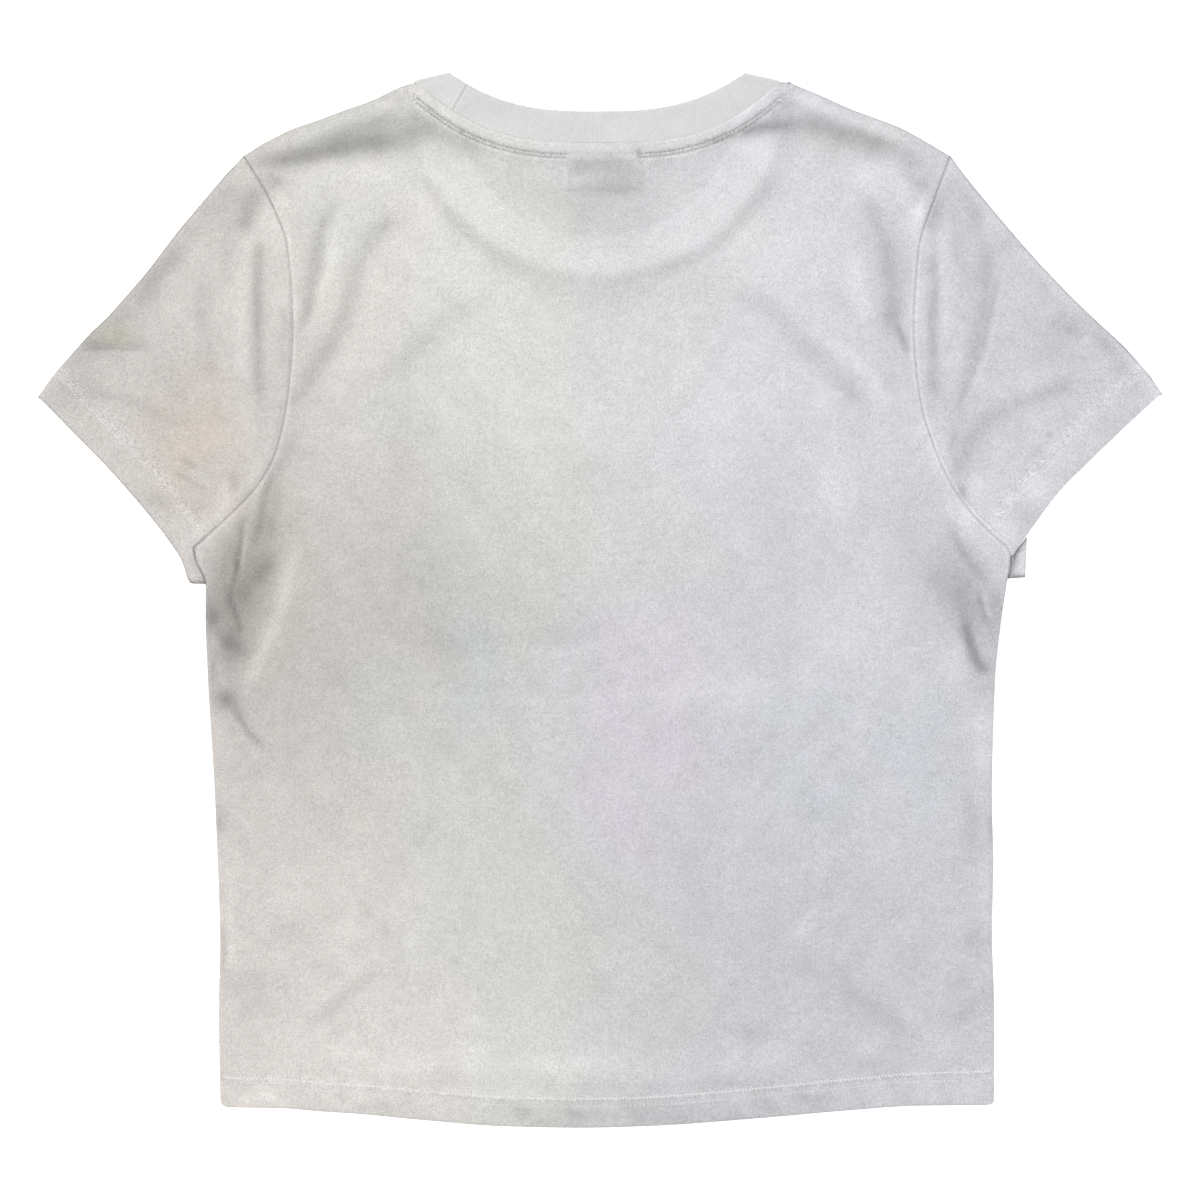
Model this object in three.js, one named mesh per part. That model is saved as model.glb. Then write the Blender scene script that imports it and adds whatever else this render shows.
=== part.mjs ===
import * as THREE from 'three';

// A fitted short-sleeved t-shirt, laid flat with its back up.
// Millimetres, +Z up. The neck points along +Y and the wearer's left sleeve along -X.
// The origin is under the middle of the shirt, on the surface that it lies on.
// Plan places are measured from that middle: x to the wearer's right, y towards the neck.

// Cloth
const clothWall = 1.0; // one layer of jersey
const hemWall = 1.6; // jersey turned up double at a hem
const bandWall = 1.6; // rib folded double at the neck
const labelWall = 1.0; // a woven label, and the tape over the neck seam
const seamGap = 0.3; // between two pieces that meet
const curveGap = 0.6; // the same along a curved seam, measured at the points between its straight facets

// Hems and seams
const bodyHemDepth = 16.5;
const cuffHemDepth = 20.8;
const hemBlend = 1.5; // to each side of a hem's top edge, the doubling fades over this width
const rimWidth = 2.0; // the back turns down over the side and shoulder seams in an edge this wide
const rimFade = { from: 14, to: 2 }; // how far below the underarm that edge starts to open out, and ends
const frontInset = rimWidth + 2 * seamGap; // how far the front lies inside the turned edge
const frontHemInset = 1.5; // and inside the back's hem
const insetFade = { columns: 4, share: 0.1 }; // columns, and share of the length, over which those fade

// How high the upper layer lies
const airUnderBack = 1.9; // loft of the back over the front, in the middle of the shirt
const edgeReach = 14; // how far in from the outline the loft takes to grow
const creaseReach = 8; // creases grow over this distance from the outline
const creaseEnds = 0.25; // share of a crease's lift left at its ends
const labelSoft = 6; // the back rises to a label over this width round it
const neckLoft = 1.1; // extra where the seam, tape and band are stacked
const neckLoftReach = 16;
const hemLoft = hemWall - clothWall; // each doubled hem adds this

// Neck
const neck = {
  leftX: -103.7, // high point of each shoulder, where the neck seam starts
  rightX: 101.5,
  pointY: 295.3,
  backDrop: 34.8, // depth of the back neck seam below the shoulder points
  backSquare: 3, // how flat the bottom of that curve is
  frontDrop: 104.3,
};
const bandEdge = {
  leftX: -84.6, // free edge of the neckband, where it folds over at each side
  rightX: 81.5,
  pointY: 299.9,
  backDrop: 21.4,
  backSquare: 2.8,
  frontDrop: 91.1,
};
const bandFold = {
  share: 0.03, // part of each half of the band given to turning over at its end
  angles: [70, 0, -70], // degrees, from the back half over to the front half
  middleZ: 1.2, // the free edge droops to this height in the middle of the back
  freeRise: [0.55, 0.8], // and rises again to the folds, over this part of the way out from the middle
  seamRise: [0.8, 0.95], // the seam edge comes down to the folds over this part
};

// Shoulders
const shoulderTip = { leftX: -203, rightX: 199.5, y: 253 };
// how far the shoulder lines stand outside a straight one, from the tip to the neck
const shoulderRise = [
  { at: 0, left: 0, right: 0 },
  { at: 0.14, left: 2.6, right: 2.2 },
  { at: 0.3, left: 3.5, right: 3.8 },
  { at: 0.45, left: 2.2, right: 3.1 },
  { at: 0.6, left: 1.5, right: 2.3 },
  { at: 0.75, left: 0.6, right: 2.6 },
  { at: 0.9, left: 1.3, right: 2.3 },
  { at: 1, left: 0, right: 0 },
];

// Side seams, from the hem up to the underarm
const sideSeam = [
  { y: -286, left: -216.4, right: 224.6 },
  { y: -230, left: -217.4, right: 224.6 },
  { y: -195, left: -216.6, right: 223.4 },
  { y: -150, left: -218.0, right: 224.2 },
  { y: -114, left: -219.4, right: 223.4 },
  { y: -46, left: -223.4, right: 225.2 },
  { y: -8, left: -224.9, right: 229.2 },
  { y: 12, left: -225.8, right: 232.4 },
  { y: 30, left: -231.4, right: 231.5 },
];

// Armhole seams, from the underarm up to the shoulder
const armhole = [
  { y: 30, left: -231.4, right: 231.5 },
  { y: 48, left: -211.3, right: 214.3 },
  { y: 65, left: -195.2, right: 201.4 },
  { y: 85, left: -184.5, right: 191.0 },
  { y: 115, left: -178.0, right: 182.0 },
  { y: 155, left: -174.8, right: 178.5 },
  { y: 200, left: -177.8, right: 181.4 },
  { y: 228, left: -188.0, right: 190.2 },
  { y: 253, left: -203.0, right: 199.5 },
];

// The bottom hem's edge hangs lower in the middle
const hemEdge = [
  { x: -216.4, y: -287 },
  { x: -180, y: -289.3 },
  { x: -140, y: -292.3 },
  { x: -96, y: -296.4 },
  { x: -55, y: -299.5 },
  { x: -10, y: -300.4 },
  { x: 30, y: -299.3 },
  { x: 90, y: -295.0 },
  { x: 140, y: -290.6 },
  { x: 180, y: -287.9 },
  { x: 224.6, y: -286.9 },
];

// Cuff edges, from the sleeve's top fold to the underarm fold that shows below the armhole
const cuffEdge = {
  left: [
    { at: 0, x: -320, y: 116 },
    { at: 0.3, x: -301, y: 96.6 },
    { at: 0.62, x: -279, y: 74 },
    { at: 1, x: -250, y: 40 },
    { at: 1.12, x: -243, y: 29.4 },
    { at: 1.3, x: -234.5, y: 10.6 },
  ],
  right: [
    { at: 0, x: 320, y: 118 },
    { at: 0.3, x: 300, y: 99.6 },
    { at: 0.62, x: 275, y: 75.5 },
    { at: 1, x: 246, y: 42 },
    { at: 1.12, x: 243, y: 32 },
    { at: 1.3, x: 242.4, y: 12.4 },
  ],
};
const underarmFold = { left: { x: -225.9, y: 9.8 }, right: { x: 232.9, y: 11.4 } };
const underarmEnd = 1.3; // where the underarm fold ends, on the same scale as the cuff's rows
const underarmRows = [1, 1.08, 1.2]; // rows from the underarm down to that end
const underarmTurn = 0.06; // the fold's inner face ends this far short of it
const underarmHeight = 2 * clothWall + seamGap; // top of that fold, which lies lower than the sleeve over it
// The hem of a sleeve starts no sooner than this share of its length, just past the last plain row
const sleeveHem = { soonest: 0.35, run: 0.02, fold: 0.2 };

// The largest creases of the upper layer: lift is negative in a trough
const creases = [
  { name: 'left shoulder', path: [[-190, 252], [-152, 260], [-115, 268]], width: 10, lift: -1.5 },
  { name: 'right shoulder', path: [[103, 277], [136, 266], [173, 256]], width: 9, lift: -1.3 },
  { name: 'left back outer', path: [[-151, 230], [-162, 198], [-166, 154]], width: 8, lift: -1.3 },
  { name: 'left back ridge', path: [[-140, 220], [-152, 183], [-158, 150]], width: 7, lift: 1.0 },
  { name: 'left back inner', path: [[-125, 211], [-138, 183], [-174, 116]], width: 9, lift: -1.4 },
  { name: 'right back outer', path: [[151, 235], [166, 185], [174, 140]], width: 9, lift: -1.4 },
  { name: 'right back ridge', path: [[136, 196], [152, 160], [163, 115]], width: 8, lift: 0.9 },
  { name: 'right back inner', path: [[80, 177], [120, 150], [160, 102]], width: 10, lift: -1.1 },
  { name: 'left sleeve', path: [[-195, 211], [-195, 152], [-193, 104]], width: 8, lift: -1.2 },
  { name: 'left sleeve fan', path: [[-225, 205], [-224, 160], [-205, 110]], width: 9, lift: -0.8 },
  { name: 'right sleeve', path: [[187, 200], [190, 162], [190, 112]], width: 8, lift: -1.2 },
  { name: 'right sleeve fan', path: [[215, 230], [221, 180], [203, 90]], width: 9, lift: -1.2 },
  { name: 'right sleeve low', path: [[206, 84], [233, 110], [275, 124]], width: 8, lift: -1.0 },
  { name: 'left underarm', path: [[-188, 72], [-202, 22], [-211, -30]], width: 11, lift: -1.6 },
  { name: 'left underarm ridge', path: [[-172, 60], [-180, 10], [-192, -45]], width: 10, lift: 2.2 },
  { name: 'right underarm', path: [[200, 50], [212, 0], [219, -45]], width: 9, lift: -1.5 },
  { name: 'right underarm ridge', path: [[180, 60], [192, 5], [204, -60]], width: 10, lift: 1.8 },
  { name: 'waist fold', path: [[-180, -56], [0, -58], [105, -50]], width: 12, lift: 0.7 },
  { name: 'lower left', path: [[-127, -213], [-145, -228], [-162, -240]], width: 9, lift: -0.9 },
  { name: 'lower right', path: [[137, -213], [150, -225], [166, -238]], width: 9, lift: -0.9 },
];

// Labels inside the shirt: lift is how far each one raises the back over it
const neckLabel = { left: -18, right: 23, low: 233.7, high: 259, lift: 0.2, floor: 0.9 };
const careLabel = {
  left: -206,
  right: -139,
  low: -210,
  high: -156,
  lift: 2.0,
  floor: clothWall + seamGap,
};
const tape = { width: 9.5, start: 0.06, end: 0.94, steps: 26, ahead: 0.002 };

// Mesh steps
const steps = {
  shoulder: [0, 0.02, 0.2, 0.45, 0.72, 1], // along each shoulder, from tip to neck
  neck: 20, // along the neck seam
  sideRows: 10, // from the hem up to the underarm
  armholeRows: 10, // from the underarm up to the shoulder, and so across one layer of a sleeve
  sleeveAlong: 8, // from armhole to hem stitching
  bandHalf: 40, // along each half of the neckband
};

const mix = THREE.MathUtils.lerp;
const ease = THREE.MathUtils.smoothstep;

function alongRows(rows, key, column, at) {
  // A smooth curve through the rows that never swings past them
  const last = rows.length - 1;
  const place = Math.min(Math.max(at, rows[0][key]), rows[last][key]);
  let i = 0;
  while (i < last - 1 && place > rows[i + 1][key]) i += 1;
  const rise = (j) => {
    const a = rows[j];
    const b = rows[j + 1];
    return (b[column] - a[column]) / (b[key] - a[key]);
  };
  const slopeAt = (j) => {
    if (j === 0) return rise(0);
    if (j === last) return rise(last - 1);
    const before = rise(j - 1);
    const after = rise(j);
    if (before * after <= 0) return 0;
    return (2 * before * after) / (before + after);
  };
  const step = rows[i + 1][key] - rows[i][key];
  const t = (place - rows[i][key]) / step;
  const t2 = t * t;
  const t3 = t2 * t;
  return (
    (2 * t3 - 3 * t2 + 1) * rows[i][column] +
    (t3 - 2 * t2 + t) * step * slopeAt(i) +
    (3 * t2 - 2 * t3) * rows[i + 1][column] +
    (t3 - t2) * step * slopeAt(i + 1)
  );
}

function hemPoint(across) {
  const x = mix(sideSeam[0].left, sideSeam[0].right, across);
  return new THREE.Vector2(x, alongRows(hemEdge, 'x', 'y', x));
}

function shoulderPoint(side, q) {
  // q runs from the tip of the shoulder to the neck
  const tipX = side === 'left' ? shoulderTip.leftX : shoulderTip.rightX;
  const neckX = side === 'left' ? neck.leftX : neck.rightX;
  const y = mix(shoulderTip.y, neck.pointY, q) + alongRows(shoulderRise, 'at', side, q);
  return new THREE.Vector2(mix(tipX, neckX, q), y);
}

function backNeckPoint(curve, q) {
  // q runs from the left shoulder to the right one
  const fromMiddle = Math.abs(2 * q - 1);
  const y = curve.pointY - curve.backDrop * (1 - fromMiddle ** curve.backSquare);
  return new THREE.Vector2(mix(curve.leftX, curve.rightX, q), y);
}

function frontNeckPoint(curve, q) {
  const middle = (curve.leftX + curve.rightX) / 2;
  const half = (curve.rightX - curve.leftX) / 2;
  const turn = Math.PI * q;
  return new THREE.Vector2(middle - half * Math.cos(turn), curve.pointY - curve.frontDrop * Math.sin(turn));
}

function cuffPoint(side, at) {
  const rows = cuffEdge[side];
  return new THREE.Vector2(alongRows(rows, 'at', 'x', at), alongRows(rows, 'at', 'y', at));
}

function armholePoint(side, at) {
  // at runs from 0 on the shoulder to 1 under the arm, then on down the underarm fold
  const low = armhole[0];
  const high = armhole[armhole.length - 1];
  if (at <= 1) {
    const y = mix(high.y, low.y, at);
    return new THREE.Vector2(alongRows(armhole, 'y', side, y), y);
  }
  const end = underarmFold[side];
  const q = (at - 1) / (underarmEnd - 1);
  return new THREE.Vector2(mix(low[side], end.x, q), mix(low.y, end.y, q));
}

function outlineLoop() {
  // The whole shirt's outline in plan, once round
  const loop = [];
  const count = 12;
  for (let i = 0; i <= count; i += 1) loop.push(hemPoint(i / count));
  const seamRows = sideSeam.slice(1, -1);
  seamRows.forEach((row) => loop.push(new THREE.Vector2(row.right, row.y)));
  for (let i = 0; i <= count; i += 1) loop.push(cuffPoint('right', underarmEnd * (1 - i / count)));
  for (let i = 0; i <= 4; i += 1) loop.push(shoulderPoint('right', i / 4));
  for (let i = 0; i <= count; i += 1) loop.push(backNeckPoint(bandEdge, 1 - i / count));
  for (let i = 4; i >= 0; i -= 1) loop.push(shoulderPoint('left', i / 4));
  for (let i = 0; i <= count; i += 1) loop.push(cuffPoint('left', (underarmEnd * i) / count));
  seamRows.reverse().forEach((row) => loop.push(new THREE.Vector2(row.left, row.y)));
  return loop;
}

function distanceToPath(path, x, y, closed) {
  // Nearest distance, and how far along the path that is, from 0 to 1
  let best = Infinity;
  let where = 0;
  const pieces = closed ? path.length : path.length - 1;
  for (let i = 0; i < pieces; i += 1) {
    const a = path[i];
    const b = path[(i + 1) % path.length];
    const dx = b.x - a.x;
    const dy = b.y - a.y;
    const length2 = dx * dx + dy * dy || 1;
    const q = Math.min(1, Math.max(0, ((x - a.x) * dx + (y - a.y) * dy) / length2));
    const gap = Math.hypot(x - a.x - q * dx, y - a.y - q * dy);
    if (gap < best) {
      best = gap;
      where = (i + q) / pieces;
    }
  }
  return { gap: best, where };
}

const outline = outlineLoop();
const neckSeamPath = Array.from({ length: 25 }, (_, i) => backNeckPoint(neck, i / 24));
const cuffPaths = ['left', 'right'].map((side) =>
  Array.from({ length: 9 }, (_, i) => cuffPoint(side, i / 8)),
);
const creasePaths = creases.map((crease) => {
  const curve = new THREE.SplineCurve(crease.path.map(([x, y]) => new THREE.Vector2(x, y)));
  return curve.getPoints(8);
});

function hemShare(x, y) {
  // 1 on a doubled hem, 0 away from it
  const hemTop = alongRows(hemEdge, 'x', 'y', x) + bodyHemDepth;
  let share = 1 - ease(y, hemTop - hemBlend, hemTop + hemBlend);
  const left = alongRows(armhole, 'y', 'left', y);
  const right = alongRows(armhole, 'y', 'right', y);
  const onSleeve = Math.max(ease(-x, -left - curveGap, -left), ease(x, right - curveGap, right));
  for (const path of cuffPaths) {
    const gap = distanceToPath(path, x, y, false).gap;
    share = Math.max(share, onSleeve * (1 - ease(gap, cuffHemDepth - hemBlend, cuffHemDepth + hemBlend)));
  }
  return share;
}

function overLabel(label, x, y) {
  const within = (place, low, high) =>
    ease(place, low - labelSoft, low) * (1 - ease(place, high, high + labelSoft));
  return within(x, label.left, label.right) * within(y, label.low, label.high) * label.lift;
}

function upperHeight(x, y) {
  // Height of the upper layer's outer face
  const inFromEdge = distanceToPath(outline, x, y, true).gap;
  let z = clothWall + seamGap + clothWall;
  z += airUnderBack * (1 - Math.exp(-inFromEdge / edgeReach));
  z += 2 * hemLoft * hemShare(x, y);
  z += neckLoft * Math.exp(-((distanceToPath(neckSeamPath, x, y, false).gap / neckLoftReach) ** 2));
  z += overLabel(careLabel, x, y) + overLabel(neckLabel, x, y);
  const nearEdge = 1 - Math.exp(-inFromEdge / creaseReach);
  creases.forEach((crease, i) => {
    const { gap, where } = distanceToPath(creasePaths[i], x, y, false);
    const taper = mix(creaseEnds, 1, Math.sin(Math.PI * where));
    z += crease.lift * taper * nearEdge * Math.exp(-((gap / crease.width) ** 2));
  });
  return z;
}

function closedGeometry(positions, triangles) {
  const geometry = new THREE.BufferGeometry();
  geometry.setAttribute('position', new THREE.Float32BufferAttribute(positions, 3));
  geometry.setIndex(triangles);
  geometry.computeVertexNormals();
  return geometry;
}

function wallBetween(upper, lower) {
  // A closed wall between two grids of points with the same rows and columns; upper faces up
  const rows = upper.length;
  const columns = upper[0].length;
  const positions = [];
  [upper, lower].forEach((grid) => grid.forEach((row) => row.forEach((p) => positions.push(p.x, p.y, p.z))));
  const top = (i, j) => i * columns + j;
  const under = (i, j) => rows * columns + i * columns + j;
  const triangles = [];
  const quad = (a, b, c, d) => triangles.push(a, b, c, a, c, d);
  for (let i = 0; i < rows - 1; i += 1) {
    for (let j = 0; j < columns - 1; j += 1) {
      quad(top(i, j), top(i, j + 1), top(i + 1, j + 1), top(i + 1, j));
      quad(under(i, j), under(i + 1, j), under(i + 1, j + 1), under(i, j + 1));
    }
  }
  for (let j = 0; j < columns - 1; j += 1) {
    quad(under(0, j), under(0, j + 1), top(0, j + 1), top(0, j));
    quad(top(rows - 1, j), top(rows - 1, j + 1), under(rows - 1, j + 1), under(rows - 1, j));
  }
  for (let i = 0; i < rows - 1; i += 1) {
    quad(top(i, 0), top(i + 1, 0), under(i + 1, 0), under(i, 0));
    quad(under(i, columns - 1), under(i + 1, columns - 1), top(i + 1, columns - 1), top(i, columns - 1));
  }
  return closedGeometry(positions, triangles);
}

function ringWall(sections, closed) {
  // Joins matching sections, each a loop of points; a closed row of them makes a ring
  const around = sections[0].length;
  const positions = [];
  sections.forEach((section) => section.forEach((p) => positions.push(p.x, p.y, p.z)));
  const triangles = [];
  const joins = closed ? sections.length : sections.length - 1;
  for (let i = 0; i < joins; i += 1) {
    const next = (i + 1) % sections.length;
    for (let j = 0; j < around; j += 1) {
      const k = (j + 1) % around;
      const a = i * around + j;
      const b = i * around + k;
      const c = next * around + k;
      const d = next * around + j;
      triangles.push(a, b, c, a, c, d);
    }
  }
  return closedGeometry(positions, triangles);
}

function panelColumns() {
  const columns = [];
  steps.shoulder.forEach((q) => columns.push({ part: 'left', q }));
  for (let i = 1; i < steps.neck; i += 1) columns.push({ part: 'neck', q: i / steps.neck });
  [...steps.shoulder].reverse().forEach((q) => columns.push({ part: 'right', q }));
  const x = (column) => {
    if (column.part === 'neck') return mix(neck.leftX, neck.rightX, column.q);
    return shoulderPoint(column.part, column.q).x;
  };
  columns.forEach((column) => {
    column.across = (x(column) - shoulderTip.leftX) / (shoulderTip.rightX - shoulderTip.leftX);
  });
  return columns;
}

function panelRows() {
  const underarm = (armhole[0].y - sideSeam[0].y) / (shoulderTip.y - sideSeam[0].y);
  const turnUp = (sideSeam[sideSeam.length - 2].y - sideSeam[0].y) / (shoulderTip.y - sideSeam[0].y);
  const rows = [{ fromHem: 0 }, { fromHem: bodyHemDepth - 2 }, { fromHem: bodyHemDepth + 2 }];
  for (let i = 1; i < steps.sideRows; i += 1) rows.push({ up: (turnUp * i) / (steps.sideRows - 1) });
  rows.push({ up: underarm });
  for (let i = 1; i < steps.armholeRows; i += 1) {
    rows.push({ up: mix(underarm, 1, i / steps.armholeRows) });
  }
  rows.push({ fromTop: neckLoftReach / 2 });
  rows.push({ fromTop: rimWidth });
  rows.push({ up: 1 });
  return rows;
}

function edgePoint(side, up) {
  // Side seam below the underarm, armhole above it
  const y = mix(sideSeam[0].y, shoulderTip.y, up);
  const rows = y < armhole[0].y ? sideSeam : armhole;
  return new THREE.Vector2(alongRows(rows, 'y', side, y), y);
}

function panelPlan(neckCurve) {
  // Places of a panel's grid, between its hem, its two sides and its shoulders and neck
  const columns = panelColumns();
  const rows = panelRows();
  const topOf = (column) => {
    if (column.part === 'neck') return neckCurve(column.q);
    return shoulderPoint(column.part, column.q);
  };
  const corner = [hemPoint(0), hemPoint(1), shoulderPoint('left', 0), shoulderPoint('right', 0)];
  const neckStart = (neck.leftX - shoulderTip.leftX) / (shoulderTip.rightX - shoulderTip.leftX);
  return rows.map((row) =>
    columns.map((column) => {
      const s = column.across;
      const top = topOf(column);
      const hem = hemPoint(s);
      const length = top.distanceTo(hem);
      let t = row.up;
      if (row.fromHem !== undefined) t = row.fromHem / length;
      if (row.fromTop !== undefined) t = 1 - row.fromTop / length;
      const left = edgePoint('left', t);
      const right = edgePoint('right', t);
      // Each side's curve pulls on the columns near it and leaves those below the neck straight
      const leftPull = Math.max(0, 1 - s / neckStart) ** 1.5;
      const rightPull = Math.max(0, 1 - (1 - s) / neckStart) ** 1.5;
      const place = (axis) =>
        mix(hem[axis], top[axis], t) +
        leftPull * (left[axis] - mix(corner[0][axis], corner[2][axis], t)) +
        rightPull * (right[axis] - mix(corner[1][axis], corner[3][axis], t));
      return { x: place('x'), y: place('y'), s, t, part: column.part, q: column.q, row };
    }),
  );
}

function turnedShare(p, columns, j) {
  // 1 where the back turns down over a side or shoulder seam, 0 on the armhole and the neck
  const underarm = armhole[0].y;
  const onSide = j === 0 || j === columns - 1;
  if (onSide && p.y < underarm) return 1 - ease(p.y, underarm - rimFade.from, underarm - rimFade.to);
  const onShoulder = p.row.up === 1 && p.part !== 'neck';
  return onShoulder && !onSide && p.q < 1 ? 1 : 0;
}

function wallAt(x, y) {
  return mix(clothWall, hemWall, hemShare(x, y));
}

function backPanel() {
  const plan = panelPlan((q) => backNeckPoint(neck, q));
  const columns = plan[0].length;
  const upper = plan.map((row) =>
    row.map((p, j) => {
      const turned = turnedShare(p, columns, j);
      const flat = upperHeight(p.x, p.y);
      const z = mix(flat, seamGap + wallAt(p.x, p.y), turned);
      return new THREE.Vector3(p.x, p.y, z);
    }),
  );
  // The column next to each side seam lies just inside the turned edge
  upper.forEach((row) => {
    if (row[0].y < armhole[0].y) {
      const end = row.length - 1;
      row[1].x = row[0].x + rimWidth;
      row[end - 1].x = row[end].x - rimWidth;
      row[1].z = upperHeight(row[1].x, row[1].y);
      row[end - 1].z = upperHeight(row[end - 1].x, row[end - 1].y);
    }
  });
  const lower = upper.map((row) => row.map((p) => new THREE.Vector3(p.x, p.y, p.z - wallAt(p.x, p.y))));
  return wallBetween(upper, lower);
}

function frontPanel() {
  const plan = panelPlan((q) => frontNeckPoint(neck, q));
  const columns = plan[0].length;
  const middle = Math.floor(columns / 2);
  const upper = plan.map((row) =>
    row.map((p, j) => {
      // The front lies inside the back's turned edge, and its hem a little inside the back's
      const side = j < middle ? 1 : -1;
      const fromSide = j < middle ? j : columns - 1 - j;
      const underarm = armhole[0].y;
      const belowArm = 1 - ease(p.y, underarm - rimFade.from, underarm);
      const sideFade = Math.max(0, 1 - fromSide / insetFade.columns) * belowArm;
      const topFade = p.part === 'neck' ? 0 : ease(p.t, 1 - insetFade.share, 1);
      const hemFade = 1 - ease(p.t, 0, insetFade.share);
      const x = p.x + side * frontInset * sideFade;
      const y = p.y - frontInset * (fromSide === 0 ? 0 : topFade) + frontHemInset * hemFade;
      return new THREE.Vector3(x, y, wallAt(x, y));
    }),
  );
  const lower = upper.map((row) => row.map((p) => new THREE.Vector3(p.x, p.y, 0)));
  return wallBetween(upper, lower);
}

function sleevePlan(side, at, along, inset) {
  // at runs round from the top fold to the underarm fold, along from the armhole to the cuff
  const start = armholePoint(side, at);
  const end = cuffPoint(side, at);
  const length = start.distanceTo(end);
  const from = curveGap / length;
  const place = new THREE.Vector2().lerpVectors(start, end, mix(from, 1, along));
  const outward = side === 'left' ? 1 : -1;
  const foldLine = cuffPoint(side, 0).sub(armholePoint(side, 0)).normalize();
  const inward = new THREE.Vector2(-foldLine.y, foldLine.x).multiplyScalar(outward);
  return place.addScaledVector(inward, inset);
}

function sleeveHemStart(side, at) {
  const length = armholePoint(side, at).distanceTo(cuffPoint(side, at));
  return Math.max(sleeveHem.soonest, 1 - cuffHemDepth / length);
}

function sleeve(side) {
  // A flattened tube: up over the upper layer from the top fold, and back along the lower one
  const ats = [];
  for (let i = 1; i < steps.armholeRows; i += 1) ats.push(i / steps.armholeRows);
  ats.push(...underarmRows);
  const alongs = [];
  for (let i = 0; i <= steps.sleeveAlong; i += 1) alongs.push({ body: i / steps.sleeveAlong });
  alongs.push({ hem: sleeveHem.fold }, { hem: 1 });
  const along = (entry, at) => {
    const start = sleeveHemStart(side, at);
    return entry.body === undefined ? mix(start, 1, entry.hem) : entry.body * (start - sleeveHem.run);
  };
  const topHeight = (x, y, at) => {
    const folded = underarmHeight + 2 * hemLoft * hemShare(x, y);
    return mix(upperHeight(x, y), folded, ease(at, underarmRows[0], underarmRows[1]));
  };
  const loops = { outer: [], inner: [] };
  alongs.forEach((entry) => {
    const outer = [];
    const inner = [];
    const place = (at, inset) => sleevePlan(side, at, along(entry, at), inset);
    const wall = (p) => wallAt(p.x, p.y);
    const turn = (at, inset, lift) => {
      const p = place(at, inset);
      return new THREE.Vector3(p.x, p.y, wall(p) + lift);
    };
    outer.push(turn(0, 0, 0));
    inner.push(turn(0, clothWall, seamGap / 2));
    ats.forEach((at) => {
      const p = place(at, 0);
      const z = topHeight(p.x, p.y, at);
      outer.push(new THREE.Vector3(p.x, p.y, z));
      inner.push(new THREE.Vector3(p.x, p.y, z - wall(p)));
    });
    outer.push(turn(underarmEnd, 0, 0));
    inner.push(turn(underarmEnd - underarmTurn, 0, seamGap / 2));
    [...ats].reverse().forEach((at) => {
      const p = place(at, 0);
      outer.push(new THREE.Vector3(p.x, p.y, 0));
      inner.push(new THREE.Vector3(p.x, p.y, wall(p)));
    });
    loops.outer.push(outer);
    loops.inner.push(inner);
  });
  // Outer rows go out to the cuff, inner rows come back to the armhole
  const sections = [...loops.outer, ...loops.inner.reverse()];
  if (side === 'left') sections.forEach((section) => section.reverse());
  return ringWall(sections, true);
}

function neckband() {
  const sections = [];
  const half = bandWall / 2;
  const section = (seam, free, normal) => {
    const thick = normal.clone().multiplyScalar(half);
    sections.push([
      seam.clone().add(thick),
      seam.clone().sub(thick),
      free.clone().sub(thick),
      free.clone().add(thick),
    ]);
  };
  const up = new THREE.Vector3(0, 0, 1);
  const lowZ = half;
  const foldZ = lowZ + bandWall + seamGap; // the back half lies on the front half at each fold
  const inFromSeam = (seam, free) => {
    const length = seam.distanceTo(free);
    return seam.clone().lerp(free, curveGap / length);
  };
  for (let i = 0; i <= steps.bandHalf; i += 1) {
    const q = mix(bandFold.share, 1 - bandFold.share, i / steps.bandHalf);
    const seamPlan = backNeckPoint(neck, q);
    const freePlan = backNeckPoint(bandEdge, q);
    const fromMiddle = Math.abs(2 * q - 1);
    const seamZ = Math.max(foldZ, upperHeight(seamPlan.x, seamPlan.y) - half);
    const seamDown = ease(fromMiddle, ...bandFold.seamRise);
    const freeUp = ease(fromMiddle, ...bandFold.freeRise);
    const seam = new THREE.Vector3(seamPlan.x, seamPlan.y, mix(seamZ, foldZ, seamDown));
    const free = new THREE.Vector3(freePlan.x, freePlan.y, mix(bandFold.middleZ, foldZ, freeUp));
    section(inFromSeam(seam, free), free, up);
  }
  const turnOver = (side, angles) => {
    // Half a turn about the line from the seam to the free edge
    const seamX = side === 'left' ? neck.leftX : neck.rightX;
    const freeX = side === 'left' ? bandEdge.leftX : bandEdge.rightX;
    const middleZ = (foldZ + lowZ) / 2;
    const seam = new THREE.Vector3(seamX, neck.pointY, middleZ);
    const free = new THREE.Vector3(freeX, bandEdge.pointY, middleZ);
    const line = free.clone().sub(seam).normalize();
    const outwards = new THREE.Vector3().crossVectors(up, line);
    if (outwards.y < 0) outwards.negate();
    const radius = (foldZ - lowZ) / 2;
    angles.forEach((degrees) => {
      const turn = THREE.MathUtils.degToRad(degrees);
      const normal = outwards.clone().multiplyScalar(Math.cos(turn)).addScaledVector(up, Math.sin(turn));
      const shift = normal.clone().multiplyScalar(radius).addScaledVector(outwards, -radius);
      const a = seam.clone().add(shift);
      const b = free.clone().add(shift);
      section(inFromSeam(a, b), b, normal);
    });
  };
  turnOver('right', bandFold.angles);
  for (let i = 0; i <= steps.bandHalf; i += 1) {
    const q = mix(1 - bandFold.share, bandFold.share, i / steps.bandHalf);
    const seamPlan = frontNeckPoint(neck, q);
    const freePlan = frontNeckPoint(bandEdge, q);
    const seam = new THREE.Vector3(seamPlan.x, seamPlan.y, lowZ);
    const free = new THREE.Vector3(freePlan.x, freePlan.y, lowZ);
    section(inFromSeam(seam, free), free, up.clone().negate());
  }
  turnOver('left', [...bandFold.angles].reverse());
  return ringWall(sections, true);
}

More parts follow.
